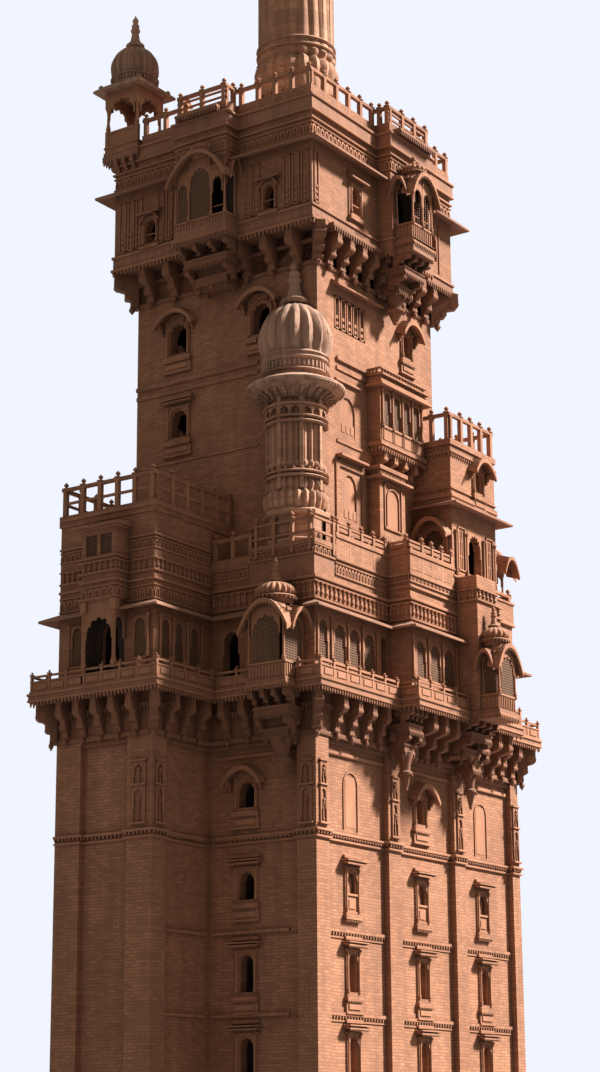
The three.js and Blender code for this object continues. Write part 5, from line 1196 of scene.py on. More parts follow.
def lower_windows():
    front, west = Face("front", BODY["recess"]), Face("west", BODY["recess"])
    parts = [at(front, 7.65, window_trim(0.36, 14.08, 15.18, True)),
             at(west, 3.3, window_trim(0.4, 14.14, 15.2, True)),
             at(west, 3.3, window_trim(0.4, 10.72, 11.83))]
    for u in (2.65, 7.65, 12.4):
        parts.append(at(front, u, blind_trim(0.35, 10.3, 11.8)))
        parts.append(at(front, u, window_trim(0.32, 7.35, 8.8)))
        parts.append(at(front, u, window_trim(0.32, 4.35, 5.8)))
    for z0, z1 in ((7.35, 8.8), (4.35, 5.8)):
        parts.append(at(west, 3.3, window_trim(0.35, z0, z1)))
    for u in (2.65, 12.4):
        parts.append(at(front, u, box(-0.35, 0.35, -0.012, 0.2, 13.4, 15.32)))
        parts.append(at(front, u, arch_line(0.5, 13.3, 15.5)))
    parts.append(at(front, 7.65, cusped_arch(0.85, 2.0, 3.2, 0.08, 0.0, 0.14, 7)))
    finish(join(parts), "lower_window_trim", CARVED)


def pier_niches():
    front, west = Face("front", BODY["y0"]), Face("west", BODY["x0"])
    wing_front, wing_west = Face("front", WING["y0"]), Face("west", WING["x0"])
    parts = []
    for u in (0.42, 5.37, 10.3, 14.9):
        parts.append(at(front, u, niche_panel(0.44, 13.35, 15.6)))
    parts.append(at(west, 0.42, niche_panel(0.5, 13.35, 15.6)))
    parts.append(at(wing_front, -3.15, niche_panel(0.44, 13.35, 15.6)))
    parts.append(at(wing_west, 5.4, niche_panel(0.6, 13.35, 15.6)))
    finish(join(parts), "pier_niche_panels", CARVED)


def arcade(face, lights, z0, z1, depth=0.07, cell=0.1):
    """Cusped heads, slender columns between, and the screens that fill a row of lights."""
    stone_parts, nets = [], []
    for u0, u1 in lights:
        half = (u1 - u0) / 2
        stone_parts.append(at(face, (u0 + u1) / 2, cusped_arch(half, z0 + 0.45 * (z1 - z0), z1, 0.05, 0.01, 0.1)))
        stone_parts.append(at(face, (u0 + u1) / 2, box(-half - 0.06, half + 0.06, -0.06, 0.02, z0 - 0.1, z0, 0.01)))
        stone_parts.append(at(face, (u0 + u1) / 2, box(-half, half, -0.04, 0, z0 - 0.62, z0 - 0.18, 0.02)))
        nets.append(lattice(face, u0, u1, z0, z1 - 0.02, -depth, cell))
    edges = [(a[1] + b[0]) / 2 for a, b in zip(lights, lights[1:]) if b[0] - a[1] < 0.6]
    edges += [lights[0][0] - 0.1, lights[-1][1] + 0.1]
    shaft = column(0.055, z1 - z0 + 0.12, 8)
    stone_parts.append(copies(shaft, [face.spot(u, z0 - 0.05, 0.04) for u in edges]))
    return stone_parts, nets


MID_LIGHTS = (
    (Face("front", BODY["y0"]), [(0.24, 0.88), (1.29, 2.12), (2.33, 3.11), (3.38, 4.17)]),
    (Face("front", BAY["y"]), [(5.35, 6.25), (6.56, 7.35), (7.6, 8.45)]),
    (Face("front", WING["y0"]), [(-3.11, -2.56), (-2.26, -1.76), (-1.32, -0.75)]),
    (Face("front", BODY["y0"]), [(12.9, 13.6), (13.9, 14.5)]),
    (Face("west", WING["x0"] - 0.1), [(5.1, 5.7), (8.1, 8.7)]),
)


def mid_arcades():
    stones, nets = [], []
    for face, lights in MID_LIGHTS:
        made, filled = arcade(face, lights, 19.5, 21.06)
        stones += made
        nets += filled
    finish(join(stones), "middle_storey_arches", CARVED)
    finish(join(nets), "middle_storey_lattice", SHADE_DARKENED_SCREEN)
    doors = [at(Face("west", BODY["x0"]), 3.85, cusped_arch(0.4, 20.0, 21.0, 0.06, 0.0, 0.12)),
             at(Face("west", WING["x0"]), 6.925, cusped_arch(0.475, 20.0, 21.15, 0.06, 0.0, 0.12)),
             at(Face("front", STEP["y"]), 9.425, cusped_arch(0.43, 20.0, 21.1, 0.06, 0.0, 0.1))]
    finish(join(doors), "middle_storey_doorways", CARVED)


def shaft_windows():
    front, west = Face("front", SHAFT["y0"]), Face("west", SHAFT["x0"])
    parts = [at(front, 8.05, window_trim(0.31, 33.7, 34.75, True)),
             at(west, 7.58, window_trim(0.47, 33.35, 34.75, True)),
             at(west, 3.4, window_trim(0.47, 33.35, 34.75, True)),
             at(west, 7.52, window_trim(0.45, 29.75, 31.0))]
    east_front = Face("front", EAST["y0"])
    parts.append(at(east_front, 10.7, window_trim(0.32, 28.15, 29.1, True)))
    parts.append(at(east_front, 10.3, cusped_arch(0.55, 25.3, 26.3, 0.07, 0.0, 0.12, 7)))
    side = Face("west", EAST["x0"])
    parts.append(at(side, -0.175, cusped_arch(0.525, 25.2, 26.3, 0.06, 0.0, 0.12)))
    parts.append(at(side, -0.175, hood(0.86, 25.9, 0.8, 0.44, 0.16, 0.13, 14)))
    finish(join(parts), "shaft_window_trim", CARVED)


def rear_windows():
    """The back and east sides, which the photograph does not show, repeat the windows of the front."""
    back, east = Face("back", BODY["y1"] - BODY["recess"]), Face("east", BODY["x1"] - BODY["recess"])
    parts = []
    for z0, z1 in ((14.08, 15.18), (10.3, 11.8), (7.35, 8.8), (4.35, 5.8)):
        for u in (2.65, 7.65, 12.4):
            parts.append(at(back, u, window_trim(0.35, z0, z1)))
        parts.append(at(east, 5.2, window_trim(0.36, z0, z1)))
    shaft_back, shaft_east = Face("back", SHAFT["y1"]), Face("east", SHAFT["x1"])
    for z0, z1, hooded in ((33.35, 34.75, True), (29.75, 31.0, False)):
        for u in (3.6, 7.9):
            parts.append(at(shaft_back, u, window_trim(0.45, z0, z1, hooded)))
        parts.append(at(shaft_east, 7.0, window_trim(0.45, z0, z1, hooded)))
    top_back, top_east = Face("back", TOP["y1"]), Face("east", TOP["x1"])
    places = [(top_east, u) for u in (3.0, 7.6)] + [(top_back, u) for u in (2.6, 5.9, 9.2)]
    for face, u in places:
        parts.append(at(face, u, cusped_arch(0.28, 38.9, 39.5, 0.04, 0.0, 0.08)))
        parts.append(at(face, u, raised_frame(0.9, 37.98, 40.1)))
    finish(join(parts), "rear_window_trim", CARVED)


def top_windows():
    front, west = Face("front", TOP["y0"]), Face("west", TOP["x0"])
    parts = [at(front, 3.645, cusped_arch(0.315, 39.1, 39.74, 0.05, 0.0, 0.1)),
             at(front, 3.645, box(-0.36, 0.36, -0.12, 0, 38.25, 38.34, 0.01)),
             at(front, 9.75, cusped_arch(0.35, 39.2, 39.9, 0.05, 0.0, 0.1)),
             at(west, 2.35, cusped_arch(0.25, 38.75, 39.25, 0.04, 0.0, 0.08)),
             at(west, 8.38, cusped_arch(0.28, 38.75, 39.25, 0.04, 0.0, 0.08))]
    for face, u, half, z0, z1 in ((front, 3.645, 0.315, 38.5, 39.74), (west, 2.35, 0.25, 38.15, 39.25),
                                  (west, 8.38, 0.28, 38.15, 39.25)):
        parts.append(at(face, u, box(-half, half, -0.02, 0.02, z0 + 0.38, z0 + 0.42)))
        shaft = column(0.04, z1 - z0, 8)
        parts.append(copies(shaft, [face.spot(u + side * (half + 0.06), z0, 0.08) for side in (-1, 1)]))
        if face is west:
            parts.append(at(face, u, hood(half + 0.22, z1 - 0.2, 0.42, 0.1, 0.0, 0.07, 10), 0.04))
    finish(join(parts), "top_storey_window_trim", CARVED)


lower_windows()
pier_niches()
mid_arcades()
shaft_windows()
top_windows()
rear_windows()


# Railings and parapets
def finial_posts(path, spacing, out, z0, z1, width=0.17, inset=0.16, ball=0.1):
    """Square posts with capped ball finials along a path, over the railing's own posts."""
    w = width / 2
    post = join([box(-w, w, -w, w, z0, z1), box(-w - 0.03, w + 0.03, -w - 0.03, w + 0.03, z1, z1 + 0.05, 0.01),
                 moved(knob(ball, 2.6 * ball), 0, 0, z1 + 0.04)])
    return copies(post, along(path, spacing, inset, out, 0.0, 0.3))


ROOF_PATH = [(0.5, 8.92), (0.5, 6.5), (-0.28, 6.5), (-0.28, 3.96), (0.5, 3.96), (0.5, 0.3), (5.3, 0.3), (5.3, -0.4),
             (8.45, -0.4), (8.45, 0.3), (11.3, 0.3), (11.3, 10.3), (2.16, 10.3)]
WING_PATH = [(1.4, 9.4), (-3.56, 9.4), (-3.56, 4.82), (1.4, 4.82)]
TERRACE_PATH = [(1.4, 0), (5.15, 0), (5.15, -1.05), (8.5, -1.05)]
REAR_TERRACE_PATH = [(12.3, 0), (15.2, 0), (15.2, 10.4), (0, 10.4), (0, 9.4)]
BLOCK_PATH = [(0, 4.82), (0, 2.8)]
EAST_PATH = [(8.5, 0.7), (8.5, -1.05), (12.1, -1.05), (12.1, 3.2), (10.1, 3.2)]

def railings():
    parts = [
        finial_posts(ROOF_PATH, 0.9, -0.09, 42.62, ROOF_RAIL),
        finial_posts(WING_PATH, 0.85, -0.06, 25.5, WING_RAIL),
        finial_posts(TERRACE_PATH, 0.8, 0.0, 23.62, 24.95, 0.13),
        finial_posts(BLOCK_PATH, 0.9, -0.08, 23.7, 24.65, 0.15),
        finial_posts(EAST_PATH, 0.85, -0.06, 29.9, 31.15),
        finial_posts(REAR_TERRACE_PATH, 1.4, -0.06, 24.4, 24.8),
    ]
    turret_front = [(0, 2.8), (0, 0), (1.4, 0)]
    parts.append(finial_posts(turret_front, 0.93, 0.03, 23.6, 24.95, 0.13))
    for z in (24.3, 24.82):
        parts.append(band(turret_front, -0.02, 0.07, z, z + 0.09))
    parts.append(band(WING_PATH, -0.1, -0.02, 26.02, 26.12))
    parts.append(band(TERRACE_PATH, -0.04, 0.08, 24.45, 24.56))
    parts.append(band(TERRACE_PATH, -0.04, 0.04, 24.86, 24.94))
    parts.append(band(TERRACE_PATH, 0.0, 0.09, 23.5, 23.62, False, 0.015))
    west_bay = ROOF_PATH[2:4]
    south_bay = ROOF_PATH[7:9]
    for bay in (west_bay, south_bay):
        for z in (43.32, 43.58):
            parts.append(band(bay, -0.13, -0.05, z, z + 0.07))
    finish(join(parts), "railing_posts_and_finials", CARVED)


def balcony_parapets():
    for name, node, path in (("front_balcony_panels", "balcony_parapet", FRONT_EDGE),
                             ("rear_balcony_panels", "rear_balcony_parapet", REAR_EDGE)):
        parts = [band(path, -0.16, -0.07, BALCONY, 18.96), band(path, -0.18, -0.04, 18.94, 19.0, False, 0.01),
                 band(path, -0.15, -0.08, 19.13, 19.21), band(path, -0.18, -0.02, BALCONY, BALCONY + 0.07, False, 0.01)]
        parts.append(finial_posts(path, 0.85, -0.1, BALCONY, 19.22, 0.1, 0.1, 0.05))
        panel = box(-0.28, 0.28, -0.02, 0.02, 18.64, 18.88, 0.012)
        line = offset(path, -0.06)
        parts.append(copies(panel, along(line, 0.85, 0.52, 0.0, 0.0, 0.6)))
        finish(join(parts), name, CARVED, 30, (node,))


# Friezes and mouldings
def baluster_frieze(path, z0, z1, pitch=0.3, closed=False, proud=0.0):
    """A row of little balusters between two mouldings."""
    line = path + path[:1] if closed else path
    h = z1 - z0
    r = 0.085
    one = turned([(0, 0), (r, 0), (r, 0.08 * h), (0.4 * r, 0.16 * h), (r, 0.36 * h), (0.85 * r, 0.46 * h),
                  (0.4 * r, 0.58 * h), (0.75 * r, 0.74 * h), (0.4 * r, 0.86 * h), (r, 0.94 * h), (r, h), (0, h)], 8)
    rows = [copies(moved(one, 0, 0, z0), along(line, pitch, 0.16, 0.02 + proud))]
    rows.append(band(path, -0.04, 0.09 + proud, z0 - 0.08, z0, closed, 0.015))
    rows.append(band(path, -0.04, 0.09 + proud, z1, z1 + 0.06, closed, 0.015))
    return join(rows)


def arch_frieze(path, z0, z1, pitch=0.3, closed=False):
    """A row of small blind arches in relief between two mouldings."""
    line = path + path[:1] if closed else path
    h, w = z1 - z0, pitch * 0.42
    points = [(-w, 0, z0), (-w, 0, z0 + 0.55 * h), (-0.7 * w, 0, z0 + 0.8 * h), (0, 0, z1 - 0.02),
              (0.7 * w, 0, z0 + 0.8 * h), (w, 0, z0 + 0.55 * h), (w, 0, z0), (0.6 * w, 0, z0),
              (0.6 * w, 0, z0 + 0.5 * h), (0, 0, z0 + 0.78 * h), (-0.6 * w, 0, z0 + 0.5 * h), (-0.6 * w, 0, z0)]
    one = join([moved(plate(points, (0, 0.05, 0)), 0, -0.04, 0), moved(knob(0.3 * w, 0.35 * h, 6), 0, -0.01, z0 + 0.06)])
    rows = [copies(one, along(line, pitch, 0.5 * pitch))]
    rows.append(band(path, -0.04, 0.06, z0 - 0.07, z0, closed, 0.012))
    rows.append(band(path, -0.04, 0.06, z1, z1 + 0.06, closed, 0.012))
    return join(rows)


def drop_frieze(path, z, pitch=0.18, closed=False, height=0.14):
    """A moulding with a row of drops under it."""
    rows = [band(path, -0.04, 0.1, z, z + 0.08, closed, 0.012), fringe_run(path, 0.0, z, pitch, closed)]
    return join(rows)


MID_PATH = [(-3.56, 9.4), (-3.56, 4.82), (0, 4.82), (0, 0), (5.15, 0), (5.15, -1.05), (8.65, -1.05)]
WING_WALL = [(-3.56, 9.4), (-3.56, 4.82), (0, 4.82)]
FRONT_WALL = [(1.4, 0), (5.15, 0)]
BAY_WALL = [(5.15, 0), (5.15, -1.05), (8.65, -1.05)]
STEP_WALL = [(8.65, -1.05), (8.65, -2.05), (10.2, -2.05), (10.2, -1.05), (12.3, -1.05), (12.3, 0)]
RIGHT_WALL = [(12.3, 0), (15.2, 0), (15.2, 10.4), (0, 10.4), (0, 9.4)]


def middle_friezes():
    parts = [baluster_frieze(MID_PATH[2:], 21.78, 22.36), arch_frieze(WING_WALL, 21.74, 22.2, 0.34),
             baluster_frieze(WING_WALL, 22.84, 23.24, 0.27), arch_frieze(WING_WALL, 23.7, 24.02, 0.26)]
    parts.append(band(MID_PATH[2:], -0.04, 0.13, 22.5, 22.62, False, 0.02))
    parts.append(band(WING_WALL, -0.04, 0.1, 22.42, 22.52, False, 0.015))
    parts.append(band(WING_WALL, -0.04, 0.1, 24.14, 24.22, False, 0.015))
    parts.append(band(WING_WALL, -0.04, 0.14, 25.3, 25.42, False, 0.02))
    parts.append(arch_frieze([(0, 4.82), (0, 3.0)], 22.95, 23.32, 0.24))
    parts.append(arch_frieze(FRONT_WALL, 22.95, 23.34, 0.22))
    parts.append(arch_frieze(BAY_WALL, 23.3, 23.7, 0.3))
    parts.append(band(BAY_WALL, -0.04, 0.1, 23.0, 23.08, False, 0.012))
    parts.append(arch_frieze([(0, 3.0), (0, 0), (1.4, 0)], 23.52, 23.8, 0.26))
    parts.append(baluster_frieze(STEP_WALL, 23.1, 23.5, 0.3))
    parts.append(baluster_frieze(RIGHT_WALL, 21.78, 22.36, 0.34))
    parts.append(band(RIGHT_WALL, -0.04, 0.12, 23.4, 23.52, False, 0.02))
    finish(join(parts), "middle_storey_friezes", CARVED)


TOP_WALL = [(0.5, 0.3), (5.3, 0.3), (5.3, -0.4), (8.45, -0.4), (8.45, 0.3), (11.3, 0.3), (11.3, 10.3), (0.5, 10.3),
            (0.5, 6.5), (-0.28, 6.5), (-0.28, 3.96), (0.5, 3.96)]


def top_friezes():
    parts = [arch_frieze(TOP_WALL, 41.0, 41.44, 0.3, True), band(TOP_WALL, -0.04, 0.1, 41.62, 41.7, True, 0.012),
             band(TOP_WALL, -0.04, 0.16, 41.96, 42.04, True, 0.015), band(TOP_WALL, -0.04, 0.18, 42.55, 42.66, True, 0.02)]
    body = [(0.5, 0.3), (11.3, 0.3), (11.3, 10.3), (0.5, 10.3)]
    parts.append(band(body, -0.04, 0.1, 37.84, 37.95, True, 0.015))
    parts.append(band(body, -0.04, 0.12, TOP_SOFFIT, TOP_SOFFIT + 0.12, True, 0.015))
    parts.append(fringe_run(body, 0.03, TOP_SOFFIT, 0.19, True))
    squares = box(-0.09, 0.09, -0.05, 0.02, 37.5, 37.7, 0.012)
    parts.append(copies(squares, along(body + body[:1], 0.42, 0.3)))
    bay = [(5.3, 0.3), (5.3, -0.4), (8.45, -0.4), (8.45, 0.3)]
    parts.append(band(bay, -0.04, 0.1, 37.84, 37.95, False, 0.015))
    parts.append(fringe_run(bay, 0.02, TOP_SOFFIT, 0.19))
    finish(join(parts), "top_storey_friezes", CARVED)


LOWER_PROFILE = [
    (0.25, 4.8), (0.25, 0.85), (0, 0.85), (0, 0), (0.85, 0), (0.85, 0.25), (4.95, 0.25), (4.95, 0), (5.8, 0), (5.8, 0.25),
    (9.9, 0.25), (9.9, 0), (10.7, 0), (10.7, 0.25), (14.6, 0.25), (14.6, 0), (15.2, 0), (15.2, 0.85),
]
WING_PROFILE = [
    (-3.56, 9.4), (-3.56, 8.22), (-3.31, 8.22), (-3.31, 6.0), (-3.56, 6.0), (-3.56, 4.82), (-2.7, 4.82), (-2.7, 5.07),
    (0.2, 5.07),
]


def lower_strings():
    parts = []
    for path in (LOWER_PROFILE, WING_PROFILE):
        parts.append(band(path, -0.05, 0.13, 13.02, 13.12, False, 0.02))
        parts.append(band(path, -0.05, 0.09, 12.78, 12.86, False, 0.015))
        parts.append(fringe(along(offset(path, 0.03), 0.19, 0.07, 0.0, 13.03), 0.1, 0.07, 0.13))
    for z in (3.6, 6.6, 9.6):
        for u0, u1 in ((0.9, 4.9), (5.85, 9.85), (10.75, 14.55)):
            line = [(u0, BODY["recess"]), (u1, BODY["recess"])]
            parts.append(fringe(along(line, 0.19, 0.06, 0.02, z - 0.13), 0.1, 0.06, 0.14))
            parts.append(band(line, -0.02, 0.04, z - 0.34, z - 0.28))
        line = [(BODY["recess"], 4.5), (BODY["recess"], 0.9)]
        parts.append(fringe(along(line, 0.13, 0.04, 0.02, z - 0.13), 0.07, 0.05, 0.1))
    lines = [[(u0, BODY["recess"]), (u1, BODY["recess"])] for u0, u1 in ((0.9, 4.9), (5.85, 9.85), (10.75, 14.55))]
    for line in lines + [[(BODY["recess"], 4.6), (BODY["recess"], 0.9)]]:
        parts.append(band(line, -0.02, 0.1, 16.0, 16.14, False, 0.02))
    finish(join(parts), "lower_storey_strings", CARVED)


# Panels in relief on the walls
def panels():
    top_west, top_front = Face("west", TOP["x0"]), Face("front", TOP["y0"])
    shaft_front = Face("front", SHAFT["y0"])
    parts = []
    for u in (0.62, 1.05, 1.48, 2.98, 3.38, 6.95, 7.4, 7.85, 8.98, 9.42, 9.86):
        parts.append(at(top_west, u, raised_frame(0.34, 38.05, 40.3, 3)))
    for u in (0.8, 8.72):
        parts.append(at(top_front, u, raised_frame(0.32, 38.05, 40.3, 3)))
    parts.append(at(top_front, 3.645, raised_frame(1.05, 37.98, 40.35)))
    parts.append(at(top_front, 9.75, raised_frame(1.05, 37.98, 40.35)))
    parts.append(at(Face("front", TOP_SOUTH["y"]), 5.42, arch_line(0.1, 38.3, 40.1, 0.03)))
    for u in (2.83, 3.28, 3.73, 4.18, 4.66):
        parts.append(at(shaft_front, u, moved(raised_frame(0.36, 33.45, 34.8, 2), 0, 0.04, 0)))
    for u, z0, z1 in ((3.5, 29.1, 30.7), (3.62, 25.6, 27.5)):
        parts.append(at(shaft_front, u, box(-0.52, 0.52, 0.06, 0.2, z0, z1)))
        parts.append(at(shaft_front, u, box(-0.5, 0.5, 0.02, 0.1, z0, z0 + 0.5, 0.012)))
        for x in (-0.32, 0.0, 0.32):
            parts.append(at(shaft_front, u, box(x - 0.11, x + 0.11, 0.0, 0.1, z0 + 0.08, z0 + 0.42, 0.012)))
    parts.append(at(shaft_front, 3.62, raised_frame(1.7, 25.25, 28.0)))
    parts.append(at(shaft_front, 3.62, box(-1.0, 1.0, -0.3, 0, 28.05, 28.16, 0.015)))
    parts.append(at(shaft_front, 3.5, box(-0.95, 0.95, -0.12, 0, 31.2, 31.3, 0.015)))
    finish(join(parts), "relief_panels", CARVED)


def front_oriel():
    face = Face("front", SHAFT["y0"])
    u0, u1, reach = 5.0, 8.3, 0.6
    pitch = (u1 - u0 - 0.3) / 4
    lights = []
    for i in range(4):
        a = u0 + 0.15 + pitch * i + 0.09
        lights.append((a, a + pitch - 0.18))
    front = Face("front", SHAFT["y0"] - reach)
    stones, nets = arcade(front, lights, 29.9, 31.4)
    wrap = [(u0, SHAFT["y0"]), (u0, front.at), (u1, front.at), (u1, SHAFT["y0"])]
    stones.append(baluster_frieze(offset(wrap, 0.06), 31.86, 32.24, 0.22))
    stones.append(band(wrap, -0.04, 0.3, 31.5, 31.6, False, 0.015))
    stones.append(band(wrap, -0.04, 0.2, 31.6, 31.76, False, 0.015))
    reeds = box(-0.03, 0.03, -0.035, 0.02, 29.3, 29.78, 0.01)
    stones.append(copies(reeds, along([(u0, front.at), (u1, front.at)], 0.12, 0.1)))
    stones.append(fringe_run(wrap, 0.02, 28.95, 0.17))
    stones.append(copies(bracket(0.55, 0.75, 0.24), face.row(u0 + 0.1, u1 - 0.1, 0.78, 28.8)))
    bay = Face("front", SHAFT["y0"] - 0.58)
    bay_wrap = [(4.9, SHAFT["y0"]), (4.9, bay.at), (6.8, bay.at), (6.8, SHAFT["y0"])]
    stones.append(band(bay_wrap, -0.04, 0.26, 27.62, 27.72, False, 0.015))
    stones.append(arch_frieze(bay_wrap, 27.78, 28.02, 0.26))
    stones.append(at(bay, 5.85, raised_frame(1.3, 25.6, 27.5)))
    stones.append(at(bay, 5.85, box(-0.68, 0.68, 0.01, 0.1, 25.52, 27.68)))
    stones.append(at(bay, 5.85, arch_line(0.48, 25.75, 27.35)))
    stones.append(fringe_run(bay_wrap, 0.02, 25.12, 0.17))
    stones.append(copies(bracket(0.5, 0.6, 0.22), face.row(5.0, 6.7, 0.55, 25.05)))
    finish(join(stones), "shaft_oriel_carving", CARVED)
    finish(join(nets), "shaft_oriel_lattice", SHADE_DARKENED_SCREEN)


def wing_oriel():
    west = Face("west", WING["x0"])
    reach = 0.79
    out = Face("west", WING["x0"] - reach)
    wrap = [(WING["x0"], 7.7), (out.at, 7.7), (out.at, 6.05), (WING["x0"], 6.05)]
    parts = [arch_frieze(wrap, 21.84, 22.24, 0.34), baluster_frieze(wrap, 22.84, 23.2, 0.27),
             band(wrap, -0.04, 0.08, 22.42, 22.52, False, 0.015), band(wrap, -0.04, 0.08, 23.34, 23.42, False, 0.015),
             band(wrap, -0.04, 0.12, 24.5, 24.62, False, 0.02)]
    shaft = column(0.09, 2.4, 10)
    parts.append(copies(shaft, [out.spot(u, RAIL - 0.1, -0.12) for u in (6.17, 7.58)]))
    head = box(-0.15, 0.15, -0.15, 0.15, 21.3, 21.75, 0.03)
    parts.append(copies(head, [out.spot(u, 0, -0.12) for u in (6.17, 7.58)]))
    parts.append(at(out, 6.875, cusped_arch(0.64, 20.25, 21.16, 0.04, 0.02, 0.1), -0.08))
    parts.append(at(out, 6.875, box(-0.8, 0.8, -0.02, 0.1, 21.14, 21.76), -0.09))
    parts.append(box(out.at + 0.06, WING["x0"] + 0.05, 7.58, 7.68, BALCONY, 21.7))
    side = Face("front", 6.05)
    parts.append(at(side, WING["x0"] - 0.4, cusped_arch(0.32, 20.3, 21.16, 0.05, 0.02, 0.1), -0.08))
    parts.append(at(side, WING["x0"] - 0.4, box(-0.36, 0.36, -0.02, 0.1, 21.14, 21.76), -0.09))
    finish(join(parts), "wing_oriel_carving", CARVED)
    nets = [lattice(out, 6.25, 6.8, 23.5, 24.3, -0.08, 0.1), lattice(out, 6.95, 7.5, 23.5, 24.3, -0.08, 0.1)]
    finish(join(nets), "wing_oriel_lattice", SHADE_DARKENED_SCREEN)


def roof_balconies():
    """The two little slabs that the roof railing's bays stand over, with fringes under them."""
    parts = []
    for x0, x1, y0, y1, path in (
        (TOP_WEST["x"] - 0.42, TOP_WEST["x"], 4.15, 6.3,
         [(TOP_WEST["x"], 6.3), (TOP_WEST["x"] - 0.42, 6.3), (TOP_WEST["x"] - 0.42, 4.15), (TOP_WEST["x"], 4.15)]),
        (5.5, 8.25, TOP_SOUTH["y"] - 0.42, TOP_SOUTH["y"],
         [(5.5, TOP_SOUTH["y"]), (5.5, TOP_SOUTH["y"] - 0.42), (8.25, TOP_SOUTH["y"] - 0.42), (8.25, TOP_SOUTH["y"])]),
    ):
        parts += [box(x0, x1, y0, y1, 42.72, 42.86, 0.02), fringe_run(path, -0.06, 42.72, 0.15)]
    finish(join(parts), "roof_balcony_slabs", LEDGE)


def chhatri_corbel():
    """The ledge that carries the chhatri beyond the roof's corner."""
    x0, y1 = CHHATRI[0] - 0.95, CHHATRI[1] + 0.95
    parts = [box(x0, x0 + 0.5, CHHATRI[1] - 0.95, y1, 42.3, 42.58, 0.02),
             box(x0 + 0.5, CHHATRI[0] + 0.95, TOP["y1"], y1, 42.3, 42.58, 0.02)]
    path = [(CHHATRI[0] + 0.95, y1), (x0, y1), (x0, CHHATRI[1] - 0.95)]
    parts.append(fringe_run(path, -0.06, 42.3, 0.17, False, 0.12))
    arm = bracket(0.34, 0.6, 0.14)
    parts.append(copies(arm, Face("west", TOP["x0"]).row(CHHATRI[1] - 0.85, TOP["y1"], 0.4, 42.3)))
    parts.append(copies(bracket(0.42, 0.6, 0.14), Face("back", TOP["y1"]).row(0.6, CHHATRI[0] + 0.85, 0.5, 42.3)))
    finish(join(parts), "chhatri_corbels", LEDGE)


railings()
balcony_parapets()
middle_friezes()
top_friezes()
lower_strings()
panels()
front_oriel()
wing_oriel()
roof_balconies()
chhatri_corbel()


def corner_kiosk():
    """The open lookout at the far corner of the terrace, with a bowed hood on each face and a ribbed cap."""
    x0, x1, y0, y1 = 14.3, 15.0, 0.2, 0.9
    x, y, half = (x0 + x1) / 2, (y0 + y1) / 2, (x1 - x0) / 2
    parts = []
    for dx in (-half + 0.06, half - 0.06):
        for dy in (-half + 0.06, half - 0.06):
            parts.append(moved(column(0.06, 1.9), dx, dy, TERRACE + 0.32))
            parts.append(box(dx - 0.07, dx + 0.07, dy - 0.07, dy + 0.07, TERRACE - 0.02, TERRACE + 0.34, 0.01))
    side = join([cusped_arch(half - 0.1, 25.2, 25.74, 0.04, 0.0, 0.08), box(-half, half, 0, 0.1, 25.7, 25.9),
                 box(-half, half, 0, 0.08, TERRACE + 0.02, TERRACE + 0.3, 0.01),
                 moved(hood(half + 0.26, 25.7, 0.75, 0.62, 0.2, 0.1, 12), 0, 0.02, 0)])
    turns = [Matrix.Rotation(math.radians(turn), 4, "Z") @ Matrix.Translation((0, -half, 0)) for turn in (0, 90, 180, 270)]
    parts.append(copies(side, turns))
    parts.append(box(-half + 0.01, half - 0.01, -half + 0.01, half - 0.01, 25.85, 26.3, 0.02))
    parts.append(moved(lobed_dome(0.46, 0.6, 12, 0.55, 0.1), 0, 0, 26.28))
    finish(moved(join(parts), x, y, 0), "corner_lookout", CARVED, 35, ("corner_kiosk",))


def east_block_details():
    front, side = Face("front", EAST["y0"]), Face("west", EAST["x0"])
    wall = [(8.5, 0.7), (8.5, -1.05), (12.1, -1.05), (12.1, 3.2), (10.1, 3.2)]
    parts = [band(wall, -0.04, 0.1, 27.5, 27.6, False, 0.015), band(wall, -0.04, 0.06, 27.86, 27.92, False, 0.01),
             band(wall, -0.04, 0.1, 24.1, 24.2, False, 0.015), drop_frieze(wall, 29.4, 0.17)]
    shaft = column(0.06, 1.9, 8)
    parts.append(copies(shaft, [front.spot(u, 24.25, 0.05) for u in (8.75, 9.6, 11.0, 11.9)]))
    parts.append(copies(column(0.06, 1.9, 8), [side.spot(u, 24.25, 0.05) for u in (-0.85, 0.5)]))
    for u in (9.225, 11.525):
        for x in (-0.13, 0.0, 0.13):
            parts.append(at(front, u, box(x - 0.025, x + 0.025, 0.0, 0.07, 24.6, 26.2)))
        for z in (25.1, 25.75):
            parts.append(at(front, u, box(-0.2, 0.2, 0.01, 0.06, z, z + 0.05)))
        parts.append(at(front, u, moved(raised_frame(0.6, 24.5, 26.35), 0, 0.0, 0)))
    parts.append(at(front, 10.3, box(-0.62, 0.62, -0.06, 0, 24.35, 24.45, 0.01)))
    finish(join(parts), "east_block_trim", CARVED)
    finish(lattice(side, -0.7, 0.35, TERRACE, 26.2, -0.15), "east_block_lattice", SHADE_DARKENED_SCREEN)


corner_kiosk()
east_block_details()


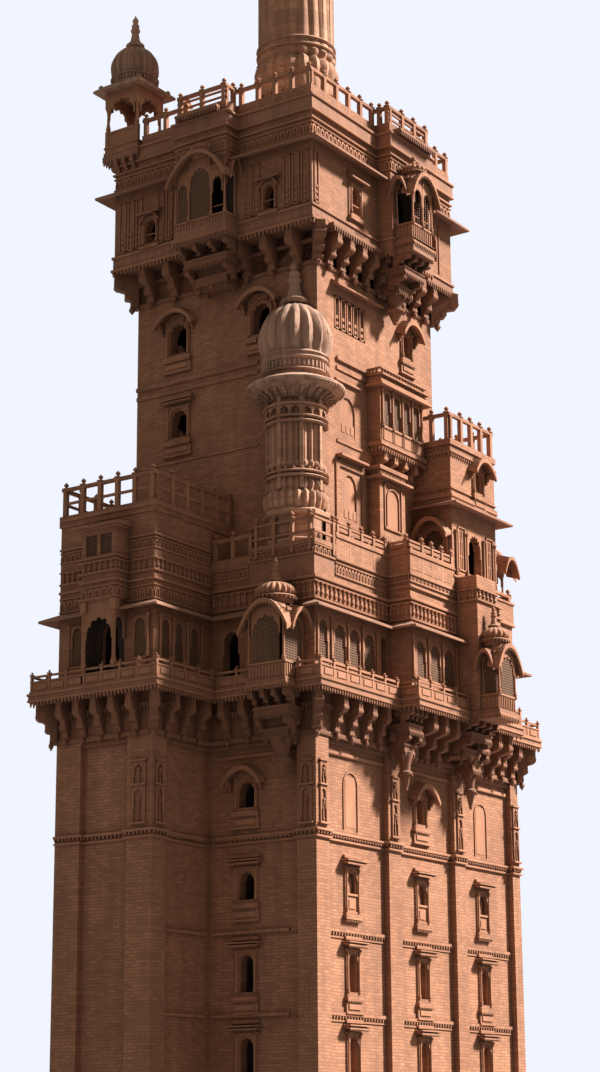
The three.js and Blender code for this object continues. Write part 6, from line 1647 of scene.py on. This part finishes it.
# Floor, camera and light
def studio():
    deselect()
    bpy.ops.mesh.primitive_plane_add(size=600, location=(0, 0, 0))
    floor = bpy.context.object
    floor.name = "studio_floor"
    pale = bpy.data.materials.new("studio floor")
    pale.use_nodes = True
    pale.node_tree.nodes["Principled BSDF"].inputs["Base Color"].default_value = (0.55, 0.56, 0.6, 1)
    pale.node_tree.nodes["Principled BSDF"].inputs["Roughness"].default_value = 0.9
    floor.data.materials.append(pale)
    floor.visible_diffuse = False

    lens = bpy.data.cameras.new("camera")
    lens.sensor_width = 36
    lens.lens = CAMERA_LENS
    lens.clip_end = 2000
    camera = bpy.data.objects.new("camera", lens)
    bpy.context.collection.objects.link(camera)
    camera.matrix_world = (
        Matrix.Translation(CAMERA_PLACE)
        @ Matrix.Rotation(math.radians(CAMERA_YAW - 90), 4, "Z")
        @ Matrix.Rotation(math.radians(90 + CAMERA_PITCH), 4, "X")
        @ Matrix.Rotation(math.radians(CAMERA_ROLL), 4, "Z")
    )
    bpy.context.scene.camera = camera

    sun = bpy.data.lights.new("sun", "SUN")
    sun.energy = SUN_STRENGTH
    sun.angle = math.radians(8)
    sun.color = (1.0, 0.93, 0.85)
    lamp = bpy.data.objects.new("sun", sun)
    bpy.context.collection.objects.link(lamp)
    lamp.rotation_euler = Vector(SUN_FROM).to_track_quat("Z", "Y").to_euler()

    world = bpy.data.worlds.new("studio")
    world.use_nodes = True
    bpy.context.scene.world = world
    graph = Graph(world.node_tree)
    background = world.node_tree.nodes["Background"]
    seen = graph.add("LightPath").outputs["Is Camera Ray"]
    join_up(graph, graph.mix(seen, (*FILL, 1), (*BACKDROP, 1)), background.inputs["Color"])
    bpy.context.scene.view_settings.view_transform = "Standard"


CAMERA_PLACE = (-37.8405, -25.4525, 0.8)
CAMERA_YAW, CAMERA_PITCH, CAMERA_ROLL = 34.244, 15.345, -0.370
CAMERA_LENS = 75.77
SUN_FROM = (0.71, -0.71, 0.93)
SUN_STRENGTH = 9.9
FILL = (0.24, 0.22, 0.19)
BACKDROP = (0.88, 0.91, 1.0)
studio()
